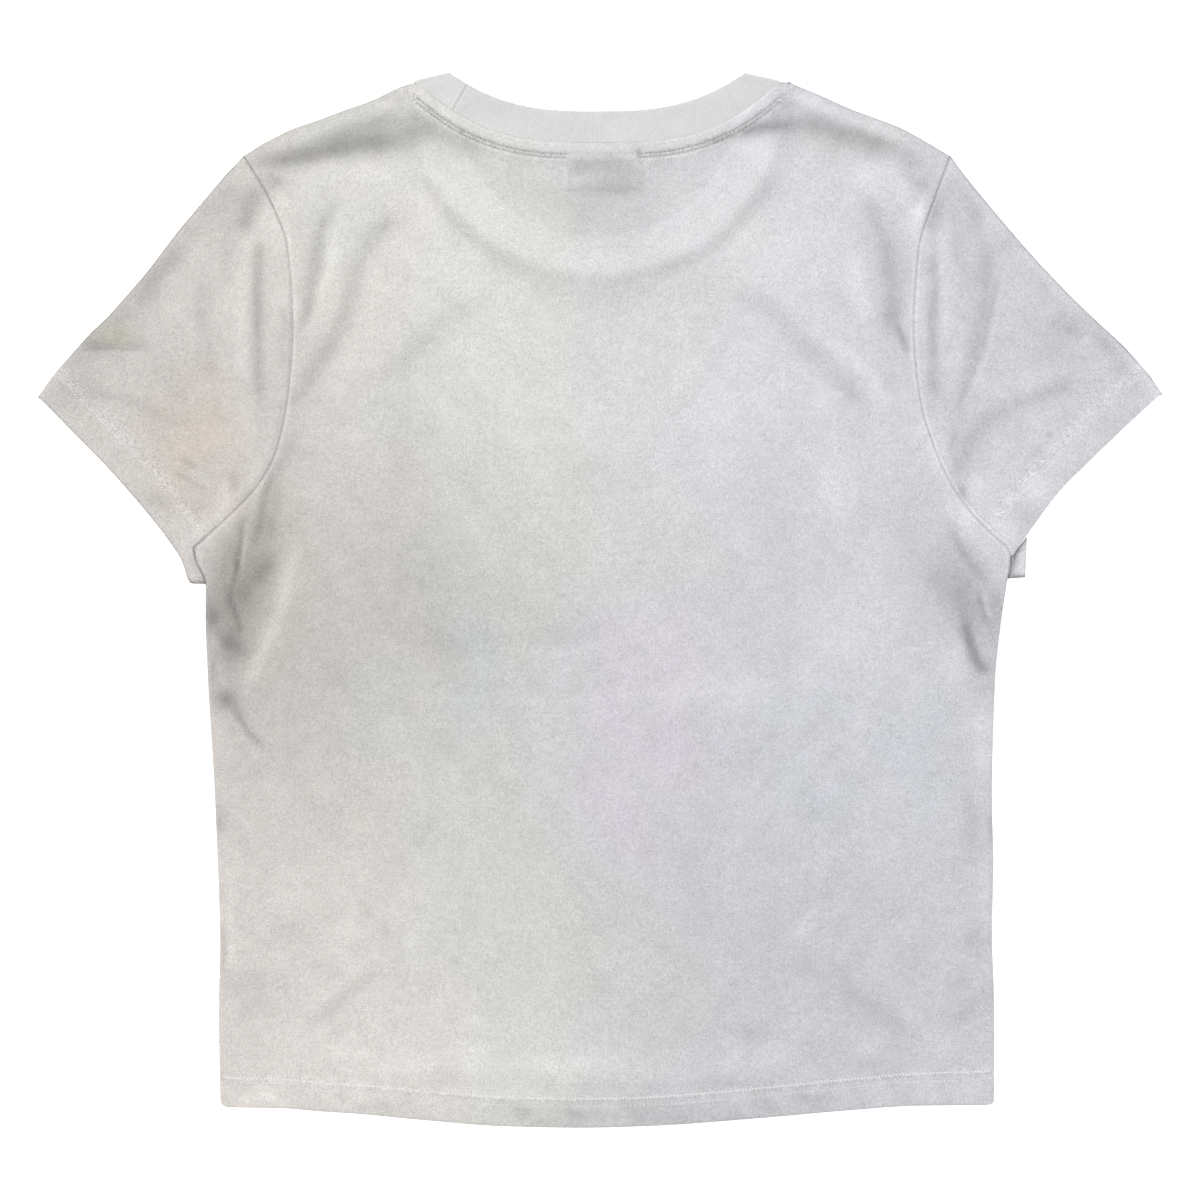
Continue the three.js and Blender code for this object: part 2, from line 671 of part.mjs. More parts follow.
function neckTape() {
  // A narrow strip inside the back, along the neck seam
  const upper = [];
  const lower = [];
  for (let i = 0; i <= tape.steps; i += 1) {
    const q = mix(tape.start, tape.end, i / tape.steps);
    const at = backNeckPoint(neck, q);
    const ahead = backNeckPoint(neck, q + tape.ahead).sub(at).normalize();
    const down = new THREE.Vector2(ahead.y, -ahead.x);
    const upperRow = [];
    const lowerRow = [];
    [curveGap, tape.width / 2, tape.width].forEach((distance) => {
      const p = at.clone().addScaledVector(down, distance);
      const z = upperHeight(p.x, p.y) - clothWall - curveGap;
      upperRow.push(new THREE.Vector3(p.x, p.y, z));
      lowerRow.push(new THREE.Vector3(p.x, p.y, z - labelWall));
    });
    upper.push(upperRow);
    lower.push(lowerRow);
  }
  return wallBetween(upper, lower);
}

function label(piece) {
  // A rectangle of woven tape lying flat
  const shape = (z) =>
    [piece.low, piece.high].map((y) =>
      [piece.left, piece.right].map((x) => new THREE.Vector3(x, y, z)),
    );
  return wallBetween(shape(piece.floor + labelWall), shape(piece.floor));
}

const colours = {
  jersey: { color: 0xd6d4d3, roughness: 0.92, metalness: 0 },
  rib: { color: 0xdad8d8, roughness: 0.94, metalness: 0 },
  tape: { color: 0xd4d2d1, roughness: 0.92, metalness: 0 },
  label: { color: 0xdfdfdf, roughness: 0.7, metalness: 0 },
};

const group = new THREE.Group();

function addPiece(name, geometry, colour) {
  const mesh = new THREE.Mesh(geometry, new THREE.MeshStandardMaterial(colours[colour]));
  mesh.name = name;
  group.add(mesh);
}

addPiece('front_panel', frontPanel(), 'jersey');
addPiece('back_panel', backPanel(), 'jersey');
addPiece('sleeve_left', sleeve('left'), 'jersey');
addPiece('sleeve_right', sleeve('right'), 'jersey');
addPiece('neckband', neckband(), 'rib');
addPiece('neck_tape', neckTape(), 'tape');
addPiece('neck_label', label(neckLabel), 'label');
addPiece('care_label', label(careLabel), 'label');

export default group;
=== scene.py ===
import math

import bpy
import numpy as np
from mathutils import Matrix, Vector


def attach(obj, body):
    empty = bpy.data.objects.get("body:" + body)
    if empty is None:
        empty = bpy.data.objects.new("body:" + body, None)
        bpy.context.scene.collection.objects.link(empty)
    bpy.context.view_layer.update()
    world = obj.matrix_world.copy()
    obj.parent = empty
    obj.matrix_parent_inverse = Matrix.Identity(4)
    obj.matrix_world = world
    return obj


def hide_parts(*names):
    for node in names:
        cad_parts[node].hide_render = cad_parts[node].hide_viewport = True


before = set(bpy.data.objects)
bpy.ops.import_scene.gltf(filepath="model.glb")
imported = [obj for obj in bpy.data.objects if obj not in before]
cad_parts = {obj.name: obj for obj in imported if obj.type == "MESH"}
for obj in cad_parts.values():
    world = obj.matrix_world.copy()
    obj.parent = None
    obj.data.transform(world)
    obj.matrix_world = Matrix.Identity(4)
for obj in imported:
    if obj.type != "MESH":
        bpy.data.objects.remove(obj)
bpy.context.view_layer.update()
print("frame loaded")

# A fitted short-sleeved t-shirt laid on its front. Tables and sizes are in millimetres, in the frame's own axes:
# x to the wearer's right, y towards the neck, z up. Meshes are made in metres.
mm = 0.001
sides = ("left", "right")
outward = {"left": -1, "right": 1}  # which way along x


def table(names, *rows):
    # named columns from short rows
    return {name: np.array([row[i] for row in rows], float) for i, name in enumerate(names.split())}


shirt = {
    "jersey": 0.75,  # one layer
    "hem": 1.45,  # turned up double
    "foldRound": 1.7,  # radius of the cloth where it turns over at an edge
    "seamZ": 0.55,  # height of the side and shoulder seams
    "hemDepth": 16.5,
    "hemWiden": 2.8,  # how much deeper the hem is at the right side seam
    "hemHalf": 223,
    "cuffDepth": 20.8,
    "cuffRows": 4.8,  # between the outer rows of the cuff's coverstitch
    "bandAllowance": 10.5,  # seam allowance of the neckband, inside the shirt
    "bandRadius": 86,  # mean radius of the neckband's free edge, and of its allowance
    "allowanceRadius": 108,
    "armhole": 240,  # lengths of an armhole and a cuff
    "cuff": 110,
}

neckSeam = {"left": -103.7, "right": 101.5, "top": 295.3, "backDrop": 34.8, "square": 3.0, "frontDrop": 104.3}
bandEdge = {"left": -84.6, "right": 81.5, "top": 299.7, "backDrop": 21.2, "square": 2.8, "frontDrop": 91.1}
tip = {"left": -203.0, "right": 199.5, "y": 253.0}
# how far the shoulder seams rise above a straight line, from the tip to the neck
shoulderRise = {
    "left": table(
        "at out", (0, 0), (0.13, 2.5), (0.28, 3.5), (0.43, 2.3), (0.58, 1.6), (0.74, 0.5), (0.89, 1.3), (1, 0)
    ),
    "right": table(
        "at out", (0, 0), (0.15, 2.3), (0.3, 3.8), (0.45, 3.1), (0.6, 2.3), (0.76, 2.6), (0.92, 2.3), (1, 0)
    ),
}
# how far the sleeves' top folds stand out from a straight line, from the tip of the shoulder to the cuff
sleeveBow = {
    "left": table(
        "at out", (0, 0), (0.1, 0.8), (0.3, 0.6), (0.5, -1.1), (0.65, -0.8), (0.76, 0.9), (0.9, 1.3), (1, 0)
    ),
    "right": table(
        "at out", (0, 0), (0.1, -1.5), (0.39, -2.9), (0.55, -2.3), (0.69, -0.4), (0.84, 1.7), (0.92, 1.5), (1, 0)
    ),
}
sideSeam = {
    "left": table(
        "y x", (-286, -216.4), (-265, -216.8), (-235, -217.4), (-200, -216.6), (-114, -219.4), (-46, -223.4),
        (-8, -224.8), (9, -224.8), (13, -225.6), (18, -228.0), (23, -230.2), (30, -231.4),
    ),
    "right": table(
        "y x", (-286, 224.6), (-230, 224.6), (-190, 223.4), (-150, 224.2), (-114, 223.4), (-46, 225.2),
        (-8, 229.2), (12, 232.2), (20, 233.3), (25, 233.8),
    ),
}
armhole = {
    "left": table(
        "y x", (30, -231.4), (48, -211.3), (65, -195.2), (85, -184.5), (115, -178.0), (155, -174.8),
        (200, -177.8), (228, -188.0), (253, -203.0),
    ),
    "right": table(
        "y x", (25, 233.8), (30, 232.0), (33, 228.3), (48, 212.8), (65, 200.4), (85, 191.0), (115, 182.0),
        (155, 178.5), (200, 181.4), (228, 190.2), (253, 199.5),
    ),
}
hemEdge = table(
    "x y", (-216.4, -284.4), (-215.6, -286.4), (-214.2, -287.8), (-211.6, -288.6), (-180, -289.3), (-160, -291.0),
    (-140, -292.3), (-96, -296.4), (-55, -299.5), (-10, -300.4), (30, -299.3), (90, -295.0), (140, -290.6),
    (180, -287.9), (219.6, -287.4), (222.6, -286.9), (224.1, -285.7), (224.6, -284.1),
)
# the cuff's edge from the sleeve's top fold (0) to the underarm (1) and on round the fold that shows under it
cuffEdge = {
    "left": table(
        "at x y", (0, -320, 116), (0.3, -301, 96.6), (0.62, -279, 74), (1, -250, 40), (1.12, -242.3, 29.3),
        (1.18, -239.0, 24.3), (1.24, -236.5, 18), (1.265, -235.5, 14.2), (1.285, -234.3, 11), (1.295, -233.1, 9.7),
        (1.3, -231.6, 9.2),
    ),
    "right": table(
        "at x y", (0, 320, 118), (0.3, 300, 99.6), (0.62, 275, 75.5), (0.76, 262.2, 62.6), (0.92, 243.6, 37.8),
        (1, 234.5, 24.8), (1.06, 243.2, 36), (1.12, 243, 31), (1.3, 242.2, 12.9),
    ),
}
foldBottom = {"left": 9.2, "right": 12.2}
foldEnd = 1.3

# edges of the labels, how far they lie under the outer face, and how they bow
neckLabel = {"left": -18.0, "right": 23.0, "low": 233.7, "high": 259.0, "drop": 1.55, "bow": 0.02}
careLabel = {"left": -213.0, "right": -139.0, "low": -210.0, "high": -156.0, "drop": 1.15, "bow": 0.0}

# Creases: half width, lift (below zero in a trough), the painted shade (below zero) or painted light (above zero)
# laid along it in levels of grey, and points along it. Some are only painted marks, lighter or darker, with no
# lift.
creases = (
    # left shoulder
    (5.4, -2.0, -54, (-196, 249), (-177, 251.6), (-165, 253.4), (-156, 255.4), (-145, 258),
     (-132, 260), (-106, 260.6)),
    (4.6, -0.8, -21, (-158, 261.5), (-141, 267.5), (-128, 272), (-114, 276)),
    (5.0, -0.4, -13, (-110, 271), (-99, 270), (-89, 265)),
    (8.0, -0.3, -13, (-206, 240), (-230, 213), (-258, 181), (-288, 149), (-306, 130)),
    (5.0, -0.9, -22, (-120, 269), (-104, 268), (-92, 265.5), (-80, 260.5), (-66, 255.5)),
    (3.0, -0.6, -14, (-113, 275), (-105, 276), (-99, 274)),
    (2.6, -0.8, -22, (-190, 240), (-184, 238), (-181, 236)),
    (4.6, -1.0, -32, (-191, 238), (-198, 229), (-201.5, 217), (-203, 206)),
    (4.0, 0.5, 13, (-182, 229), (-182, 222)),
    (3.5, 0.4, 9, (-177, 204), (-176, 199)),
    (5.0, 0.4, 7, (-192, 219), (-189, 212)),
    # left of the back
    (3.8, -1.4, -24, (-154, 221), (-157, 212), (-160, 203), (-163, 190), (-164, 175), (-168, 156)),
    (3.0, -0.3, -12, (-149, 231), (-154, 219), (-157, 210)),
    (3.2, 0.9, 11, (-150, 208), (-152, 196), (-156, 180), (-162, 160), (-167, 149)),
    (4.8, -1.4, -21, (-113, 217), (-125, 212), (-133, 200), (-138, 187), (-142, 171), (-149, 154),
     (-157, 140), (-174, 115)),
    (6.0, 0.5, 5, (-146, 139), (-148, 130)),
    (5.0, -0.8, -13, (-65, 173), (-78, 165), (-90, 155), (-101, 145), (-113, 136), (-126, 126)),
    # left sleeve
    (2.9, -1.4, -25, (-193, 205), (-194, 190), (-194, 170), (-195, 150), (-194, 130), (-192, 110)),
    (4.0, 0.7, 9, (-199, 212), (-202, 185), (-203, 155), (-204, 125)),
    (4.0, -0.6, -10, (-226, 192), (-226, 162), (-223, 142), (-218, 126)),
    (3.0, -0.4, -8, (-213, 207), (-213, 192), (-212, 178)),
    (4.5, -0.7, -17, (-236, 203), (-245, 194), (-252, 184), (-258, 172), (-264, 165)),
    (4.0, -0.9, -18, (-276, 160), (-272, 151), (-267, 145)),
    (3.5, -0.8, -14, (-294, 119), (-280, 115), (-265, 112), (-250, 105)),
    (3.0, -0.4, -8, (-241, 121), (-233, 112)),
    (4.0, -0.5, -10, (-254, 105), (-240, 96)),
    (1.6, -0.5, -17, (-239, 80), (-229, 74)),
    (1.6, -0.5, -13, (-243, 73), (-234, 68), (-225, 62)),
    (3.5, -0.4, -14, (-261, 58), (-250, 56), (-241, 56)),
    (3.0, -0.4, -13, (-228, 55), (-224, 50)),
    (2.5, -0.5, -12, (-208, 73), (-207, 60)),
    (2.5, 0.4, 9, (-212, 69), (-213, 54)),
    (2.5, -0.3, -8, (-204, 82), (-202, 77)),
    (3.0, -0.3, -15, (-179.5, 168), (-181, 150), (-179, 128)),
    (2.6, -0.3, -11, (-164, 171), (-168, 161), (-172, 152)),
    (3.0, -0.3, -11, (-157, 131), (-167, 120), (-175, 110)),
    # left underarm
    (6.5, -0.7, -14, (-206, 40), (-210, 20), (-211, 2), (-209, -14), (-207, -27)),
    (2.3, -1.0, -27, (-187, 73), (-190, 60), (-193, 46), (-197, 31)),
    (1.3, 0.7, 24, (-201, 44), (-202, 32), (-204, 17)),
    (3.8, -0.9, -24, (-184, 26), (-191, 16), (-197, 8)),
    (2.8, -0.5, -16, (-184, 64), (-186, 48), (-187, 34)),
    (3.6, -0.6, -19, (-173, 93), (-180, 81), (-186, 67)),
    (3.4, -0.3, -17, (-199, 12), (-202, 4), (-203, -4)),
    (2.2, -0.7, -24, (-203.1, 49), (-203.8, 34), (-206, 24), (-207.5, 16)),
    (1.3, -0.25, -24, (-206, 24), (-207.5, 16), (-210.9, 3), (-208.8, -5.7), (-205.2, -14.3), (-204.5, -20)),
    (3.6, -0.4, -29, (-222, -6), (-218, -16)),
    (5.0, -0.4, -30, (-221, -19), (-212, -24), (-206, -28)),
    (1.2, -0.4, -12, (-213, 12), (-212, -4)),
    (4.2, 1.5, 19, (-173, 32), (-178, 10), (-183, -12), (-190, -24), (-196, -38), (-198, -51)),
    (2.6, 0.3, 10, (-208, 30), (-210, 16), (-212, 2)),
    (4.5, -0.3, -14, (-222, 8), (-222, -13)),
    (1.8, 0.4, 16, (-221, -19), (-217, -28)),
    (4.0, -0.9, -34, (-220, -51), (-213, -57), (-205, -62)),
    (1.9, -0.6, -23, (-209, -61), (-203, -71), (-197, -80), (-191, -85)),
    (2.0, -0.3, -14, (-221, -34), (-220, -48)),
    # right shoulder
    (2.8, -0.5, -20, (58, 259.3), (67, 261.2), (76, 263.4), (82, 265.4)),
    (3.0, -1.2, -50, (78, 264), (86, 267.4), (95, 269.2), (112, 270)),
    (5.0, -0.6, -9, (88, 266), (98, 271), (112, 272)),
    (6.4, -1.7, -35, (106, 271), (120, 271), (130, 269.5), (141, 265.5), (151, 262), (160, 259), (172, 256)),
    (6.0, -1.0, -19, (168, 257), (178, 251), (185, 244)),
    (3.0, -0.6, -20, (98, 275), (105, 281.5), (111, 286)),
    (3.4, -0.5, -18, (175, 240.5), (183, 237.5), (191, 233)),
    (3.5, 0.6, 18, (184, 230), (182, 221), (180, 212)),
    (4.0, 0.4, 9, (162, 251), (171, 239), (175, 226)),
    (3.0, 0.2, 7, (134, 253), (145, 251)),
    # right of the back
    (4.8, -1.5, -22, (149, 232), (157, 221), (161, 210), (164, 198), (166, 184), (166, 168), (165, 143)),
    (2.2, -0.9, -27, (168, 159), (172, 149), (175.5, 140)),
    (5.5, -1.0, -14, (76, 175), (91, 168), (103, 161), (111, 152), (121, 141), (131, 131), (146, 116),
     (153, 108)),
    (3.5, 0.8, 9, (142, 202), (147, 184), (151, 168), (154, 157)),
    (4.2, 0.8, 10, (122, 156), (134, 145), (145, 138), (154, 128), (162, 115), (165, 103)),
    (3.0, -0.3, -6, (135, 179), (141, 161)),
    # right sleeve
    (2.8, -1.3, -22, (190, 199), (191, 184), (190, 163), (190, 147), (190, 126), (192, 115)),
    (3.0, 0.6, 9, (195, 208), (197, 178), (197, 145)),
    (4.8, -1.4, -20, (211, 233), (216, 212), (219.5, 198), (221, 183), (220, 168), (216, 155),
     (211, 127), (204, 103)),
    (4.0, -0.6, -10, (201, 229), (204, 212), (205, 198), (208, 183)),
    (1.7, 0.25, 7, (231, 187), (226.5, 165), (222.4, 146), (213.8, 124), (206.5, 108)),
    (1.7, -0.25, -8, (228, 187), (223.4, 165), (219.2, 146), (210.4, 124), (203.5, 108)),
    (4.2, -0.9, -26, (197, 234), (192, 225), (189.5, 215), (189, 207)),
    (5.0, -0.3, -8, (227, 204), (237, 202)),
    (3.0, -0.4, -8, (243, 187), (256, 174)),
    (5.0, -0.4, -8, (262, 167), (262, 145)),
    (2.6, -0.5, -17, (265, 154), (272, 152)),
    (3.0, -0.3, -8, (263, 140), (280, 137)),
    (3.4, -0.6, -14, (282, 154), (288, 145), (300, 138)),
    (3.0, -0.3, -9, (291, 132), (299, 131)),
    (4.0, -1.1, -18, (278, 125), (262, 120), (249, 116), (239, 112), (231, 107), (219, 103)),
    (4.0, 0.4, 6, (238, 128), (263, 131)),
    (4.2, -0.9, -18, (221, 107), (210, 88), (205, 79), (202, 70)),
    (2.4, -0.5, -11, (203, 100), (200, 83)),
    (2.4, -0.7, -23, (205, 66), (208, 56)),
    (8.0, 0.4, 9, (217, 47), (229, 37)),
    (5.0, -0.3, -10, (237, 53), (247, 48)),
    (4.0, 0.3, 7, (211, 68), (219, 64)),
    # right underarm
    (4.5, 0.8, 12, (200, 56), (211, 42), (221, 30), (228, 19)),
    (3.0, 0.3, 8, (225, 24), (224, 11)),
    (2.8, -0.8, -21, (199, 46), (203, 34), (208, 26), (214, 18), (220, 10)),
    (2.5, -0.6, -16, (207, -12), (211, -24), (215, -36), (219, -42)),
    (3.0, -1.4, -34, (205.5, -6), (208.5, -17), (211, -25), (214, -33), (217.5, -38.5), (222, -43.5)),
    (7.5, -0.6, -14, (202, 16), (207, 2), (211, -10), (214, -22)),
    (9.0, -0.4, -8, (183, 15), (199, 7)),
    (1.7, -0.6, -20, (215, 6), (218, -6), (221, -15)),
    (1.4, 0.4, 16, (218, 7), (220.5, -4), (223, -11)),
    (3.6, -0.4, -12, (226, 4), (227, -5)),
    (3.0, 0.3, 8, (222, -26), (223, -34)),
    (3.0, -0.5, -12, (213, -46), (221, -55)),
    (4.0, 0.5, 16, (217, -65), (218, -76)),
    (10.0, 0.3, 4, (197, -28), (204, -48)),
    # right side
    (3.0, 0.5, 12, (218.5, -83), (218.5, -103)),
    (4.0, -0.5, -12, (211, -111), (212, -130), (212.5, -147)),
    (3.0, 0.4, 9, (218.5, -146), (218.5, -185)),
    (3.6, -0.4, -11, (214, -185), (213, -200)),
    (2.0, -0.4, -16, (222.5, -123), (222.5, -139)),
    (4.0, -0.7, -14, (218, -223), (209, -234), (199, -243)),
    # lower right
    (4.2, -0.8, -12, (138, -216), (144, -228), (156, -232), (165, -240), (175, -248)),
    (5.0, -0.3, -5, (107, -210), (135, -217)),
    (4.0, 0.5, 6, (167, -227), (183, -241)),
    (6.0, 0.3, 7, (192, -255), (199, -258)),
    (7.0, 0.4, 6, (58, -268), (82, -263), (107, -257)),
    (4.0, 0.2, 6, (144, -253), (162, -254)),
    (3.5, -0.3, -6, (57, -273), (91, -276)),
    (3.0, -0.3, -7, (138, -266), (162, -264)),
    (3.0, 0.4, 7, (110, -195), (118, -184), (125, -170)),
    (3.0, 0.2, 5, (126, -196), (131, -196.5)),
    (4.0, 0.2, 5, (85, -231), (87, -238)),
    (4.0, -0.2, -6, (80, -245), (90, -251)),
    (3.0, -0.2, -4, (97, -119), (92, -136), (75, -148)),
    (4.0, 0.2, 4, (115, -251), (123, -237)),
    # across the waist, where it has been folded away
    (2.0, 0.2, 4.5, (-43, -31.5), (-14, -31), (0, -24.5), (23, -21.5), (43, -20)),
    (5.0, -0.2, -6, (-68, -20), (-30, -24), (4, -16)),
    (2.0, 0.18, 4, (-108, -56.5), (-54, -57.5), (-23, -59), (-11, -56), (23, -54.5), (60, -53),
     (80, -50), (106, -47)),
    (3.0, -0.15, -5, (-19, -50.5), (-9, -50)),
    (7.0, 0.3, 6, (-8, -68), (16, -68)),
    (3.0, -0.2, -7, (-113, 11), (-117, -9)),
    (5.0, -0.2, -6, (-99, -20), (-81, -28)),
    (5.0, -0.2, -4, (-158, -42), (-121, -50)),
    # left side and lower left
    (3.0, -0.4, -20, (-217.5, -120), (-216, -135)),
    (2.4, 0.3, 8, (-210, -160), (-210, -207)),
    (1.6, -0.3, -15, (-214.5, -184), (-214.5, -215)),
    (3.6, -0.8, -13, (-122, -212), (-137, -220), (-147, -228), (-157, -237), (-167, -245)),
    (3.0, 0.5, 6, (-133, -210), (-151, -222), (-167, -234)),
    (3.0, -0.4, -8, (-141, -242), (-155, -250)),
    (3.5, 0.4, 8, (-159, -254), (-141, -258), (-123, -261)),
    (5.0, 0.4, 9, (-127, -263), (-106, -266), (-86, -265)),
    (4.5, 0.3, 8, (-81, -264), (-67, -267)),
    (2.5, 0.3, 8, (-84, -243), (-74, -241), (-63, -240)),
    (4.0, 0.2, 6, (-87, -256), (-59, -257)),
    (3.0, -0.3, -5, (-107, -274), (-79, -275)),
    (5.0, 0.2, 6, (-182, -246), (-161, -252)),
    (5.0, 0.2, 5, (-107, -185), (-108, -215)),
    (2.6, -0.3, -8, (-96, -124), (-99, -132), (-105, -141)),
    (2.0, 0.2, 6, (-74, -220), (-70, -230)),
    (7.0, -0.5, -11, (-211, -218), (-198, -217), (-183, -219)),
    (5.0, -0.3, -8, (-207, -227), (-195, -242)),
    (7.0, -0.2, -6, (-187, -189), (-157, -189)),
    (2.0, -0.2, -11, (-193, -194), (-188, -196)),
    (5.0, 0.2, 6, (-189, -173), (-157, -170)),
    (4.0, 0.2, 8, (-142, -181), (-141, -193)),
    (2.0, 0.2, 6, (-154, -198), (-148, -202)),
    # in the hem
    (3.0, 0.3, 11, (-207, -285), (-190, -283.5), (-175, -284.5)),
    (2.5, -0.3, -17, (-151, -279), (-143, -287)),
    (2.4, -0.3, -16, (-141, -285), (-133, -292)),
    (2.5, -0.3, -13, (-130, -285), (-116, -291)),
    (2.4, -0.3, -11, (-81, -284), (-69, -291)),
    (2.4, -0.3, -11, (-51, -288), (-39, -294)),
    (2.4, -0.3, -10, (-19, -290), (-7, -296)),
    (3.0, -0.3, -17, (105, -282), (120, -284.5), (135, -285)),
    # at the neck: painted shade beside the band's left end, and painted shade and light at the label's edges
    (1.5, 0, -13, (-104, 294), (-96, 287), (-86, 280.5)),
    (3.0, 0, -13, (-2, 232.5), (20, 232)),
    (1.0, -0.3, -40, (21.5, 258), (21.5, 250)),
    (2.0, 0.2, 8, (-18, 240), (-9, 238.5)),
    (9.0, 0, 9, (88, 260), (89, 248)),
)

# Broad patches of painted light and shade: middle, reach each way, turn in degrees, levels of grey
patches = (
    (-165, -15, 34, 56, 0, -9),
    (-110, 0, 44, 50, 0, -7),
    (-208, 4, 11, 30, -4, -19),
    (-198, -10, 22, 52, 0, -12),
    (-70, 175, 55, 55, 0, 5),
    (-130, 215, 34, 30, 0, 7),
    (90, 175, 50, 60, 0, 4),
    (120, 225, 50, 30, 0, 4),
    (30, 110, 90, 45, 0, 5),
    (10, 235, 36, 26, 0, -7),
    (-150, -240, 60, 55, 0, 7),
    (-40, -275, 90, 26, 0, 4),
    (-245, 120, 40, 50, 0, -7),
    (-190, -110, 30, 60, 0, -3),
    (-95, 185, 50, 45, 0, 4),
    (0, 120, 70, 45, 0, 3),
    (165, 225, 40, 35, 0, 3),
    (262, 105, 40, 35, 0, 4),
    (-100, -235, 60, 45, 0, 3),
    (110, -190, 60, 50, 0, -5),
    (-300, 116, 14, 14, 0, -8),
    # sleeves and shoulders
    (-290, 147, 10, 9, -40, -7),
    (-210, 219, 8, 14, 0, -8),
    (-185, 239, 8, 6, 30, -10),
    (-148, 245, 22, 5, -5, 11),
    (-168, 238, 6, 6, 0, 6),
    (-183, 216, 4, 6, 0, 6),
    (-103, 289, 4, 5, 0, 10),
    (-214, 51, 5, 8, -35, 16),
    (-227, 38, 6, 7, 0, 14),
    (-170, 104, 9, 6, 0, -7),
    (-262, 130, 30, 34, 0, -3),
    (132, 278, 16, 3.6, -24, 11),
    (119, 286, 7, 3.6, -24, 8),
    (152, 243, 6, 8, 0, 11),
    (220, 209, 5, 10, -20, 10),
    (208, 131, 6, 9, 0, 13),
    (254, 137, 11, 7, 20, -11),
    (250, 160, 9, 8, 0, -6),
    (225, 101, 7, 4, 0, -8),
    (163, 125, 4, 8, 20, -10),
    (167, 160, 4, 6, 0, -9),
    (250, 61, 8, 6, 45, 18),
    (234, 37, 6, 7, 0, 14),
    (263, 81, 7, 6, 0, 11),
    (251, 84, 6, 5, 0, -9),
    (161, 268, 7, 3.5, -20, 14),
    (180, 213, 4, 6, 0, 9),
    (215, 64, 4, 5, 0, 8),
    (-197, 66, 6, 6, 0, 9),
    (-211, 45, 5, 5, 0, 8),
    (-207, 220, 4, 4, 0, 9),
    (185, 159, 4, 12, 0, 10),
    (-226, 214, 9, 8, 40, 6),
    (222, 200, 7, 9, 30, 5),
    (-302, 121, 10, 8, 0, -5),
    (277, 158, 7, 7, 0, -9),
    (205, 236, 4, 8, 30, -9),
    (103, 227, 10, 10, 0, -5),
    (314, 114, 8, 7, 0, 10),
    # underarms
    (-193, 20, 8, 18, -15, -11),
    (-217, -8, 7, 24, 0, -5),
    (-214, -17, 4, 6, 0, 7),
    (-207, -30, 5, 5, 0, -13),
    (-207, -62, 6, 8, 0, -8),
    (-165, 163, 4, 8, -10, -7),
    (208, -1, 8, 7, 0, -12),
    (203, -36, 4, 12, -15, 7),
    (206, 16, 16, 18, 0, -11),
    (190, 20, 8, 12, 0, -6),
    (224, -22, 5, 16, 0, -15),
    # body
    (-8, 73, 14, 6, 0, -6),
    (0, 32, 14, 12, 0, 6),
    (7, 3, 6, 5, 0, 6),
    (208, -72, 4, 4, 0, 6),
    (22, 250, 5, 2.6, 0, 13),
    (-12, 244, 5, 4, 0, -7),
    (75, 250, 6, 4, 0, -6),
    (-30, 242, 7, 4, 0, 8),
    (158, 222, 5, 7, 20, 9),
    (-97, 222, 6, 6, 0, 4),
    (-71, 197, 6, 5, -35, 8),
    (40, 201, 9, 6, 0, 6),
    (90, 162, 7, 5, 0, 8),
    (-155, 215, 6, 7, 0, 6),
    (-172, 166, 3, 7, -10, 8),
    (205, 10, 4, 6, 0, -5),
    (218, -165, 4, 8, 0, -6),
    (78, -54, 22, 10, 0, 6),
    (191, 86, 5, 12, 12, 10),
    (187, 112, 5, 7, 0, -8),
    (-88, 189, 8, 10, 40, 5),
    (-96, 226, 8, 7, -40, 7),
    (100, 179, 10, 8, 0, 5),
    (206, 46, 6, 9, 20, 7),
    (70, 207, 26, 14, -20, 6),
    (103, 214, 8, 10, 0, 4),
    (-188, 241, 12, 4, 10, 8),
    (-50, 22, 5, 16, 0, -5),
    (0, 249, 20, 2.4, 0, -4),
    (34, 249, 12, 2.6, 0, -3),
    (-78, 262, 12, 3.4, -32, -7),
    (48, 32, 20, 22, 0, 4),
    (60, 80, 6, 14, 0, 5),
    (97, 62, 7, 18, 0, -6),
    (172, 38, 6, 8, 0, -5),
    (94, -248, 7, 5, 0, -6),
    (-142, -120, 8, 5, 0, -7),
    (-97, -89, 8, 8, 0, -6),
    (205, -219, 8, 6, 0, -5),
    (-154, -208, 9, 5, 0, -5),
    (-112, 84, 8, 20, 0, -7),
    (-120, 26, 9, 12, 0, -7),
    (-94, 12, 12, 18, 0, -10),
    (-128, 125, 9, 6, -20, -6),
    (-82, -24, 15, 9, 0, -7),
    (-88, -52, 24, 12, 0, -4),
    (128, 117, 9, 13, 0, 10),
    (134, 63, 8, 15, 0, 11),
    (145, -20, 18, 26, 0, 8),
    (-88, -140, 12, 30, 0, 4),
    (-141, -155, 6, 12, 0, 5),
    (-45, -232, 24, 18, 0, 4),
    (-20, -265, 26, 5, 0, 13),
    (-208, -221, 6, 5, 0, -7),
    (-180, -230, 10, 7, 0, -5),
    # in the hem
    (35, -291, 44, 5, 2, -10),
    (-20, -292, 12, 4, 0, -5),
    (45, -276.5, 40, 2.2, 1, -6),
    (60, -296, 40, 2.4, 1, -8),
    (115, -289, 26, 3, 3, -5),
    (-52, -280, 22, 3, -2, 7),
    (-138, -284, 8, 5, -5, 15),
    (-196, -284, 7, 5, 0, 14),
    (212, -278, 9, 6, 0, 11),
    # round the size label
    (-12, 238.5, 5, 2.6, 0, 15),
    (14, 237, 7, 4, 0, -9),
    (-10, 222, 7, 7, 0, -7),
    (-4, 247, 6, 2.6, 0, -6),
)


def mix(a, b, t):
    return a + (b - a) * t


def ease(x, low, high):
    # 0 up to low, 1 from high on, smooth between
    t = np.clip((x - low) / (high - low), 0, 1)
    return t * t * (3 - 2 * t)


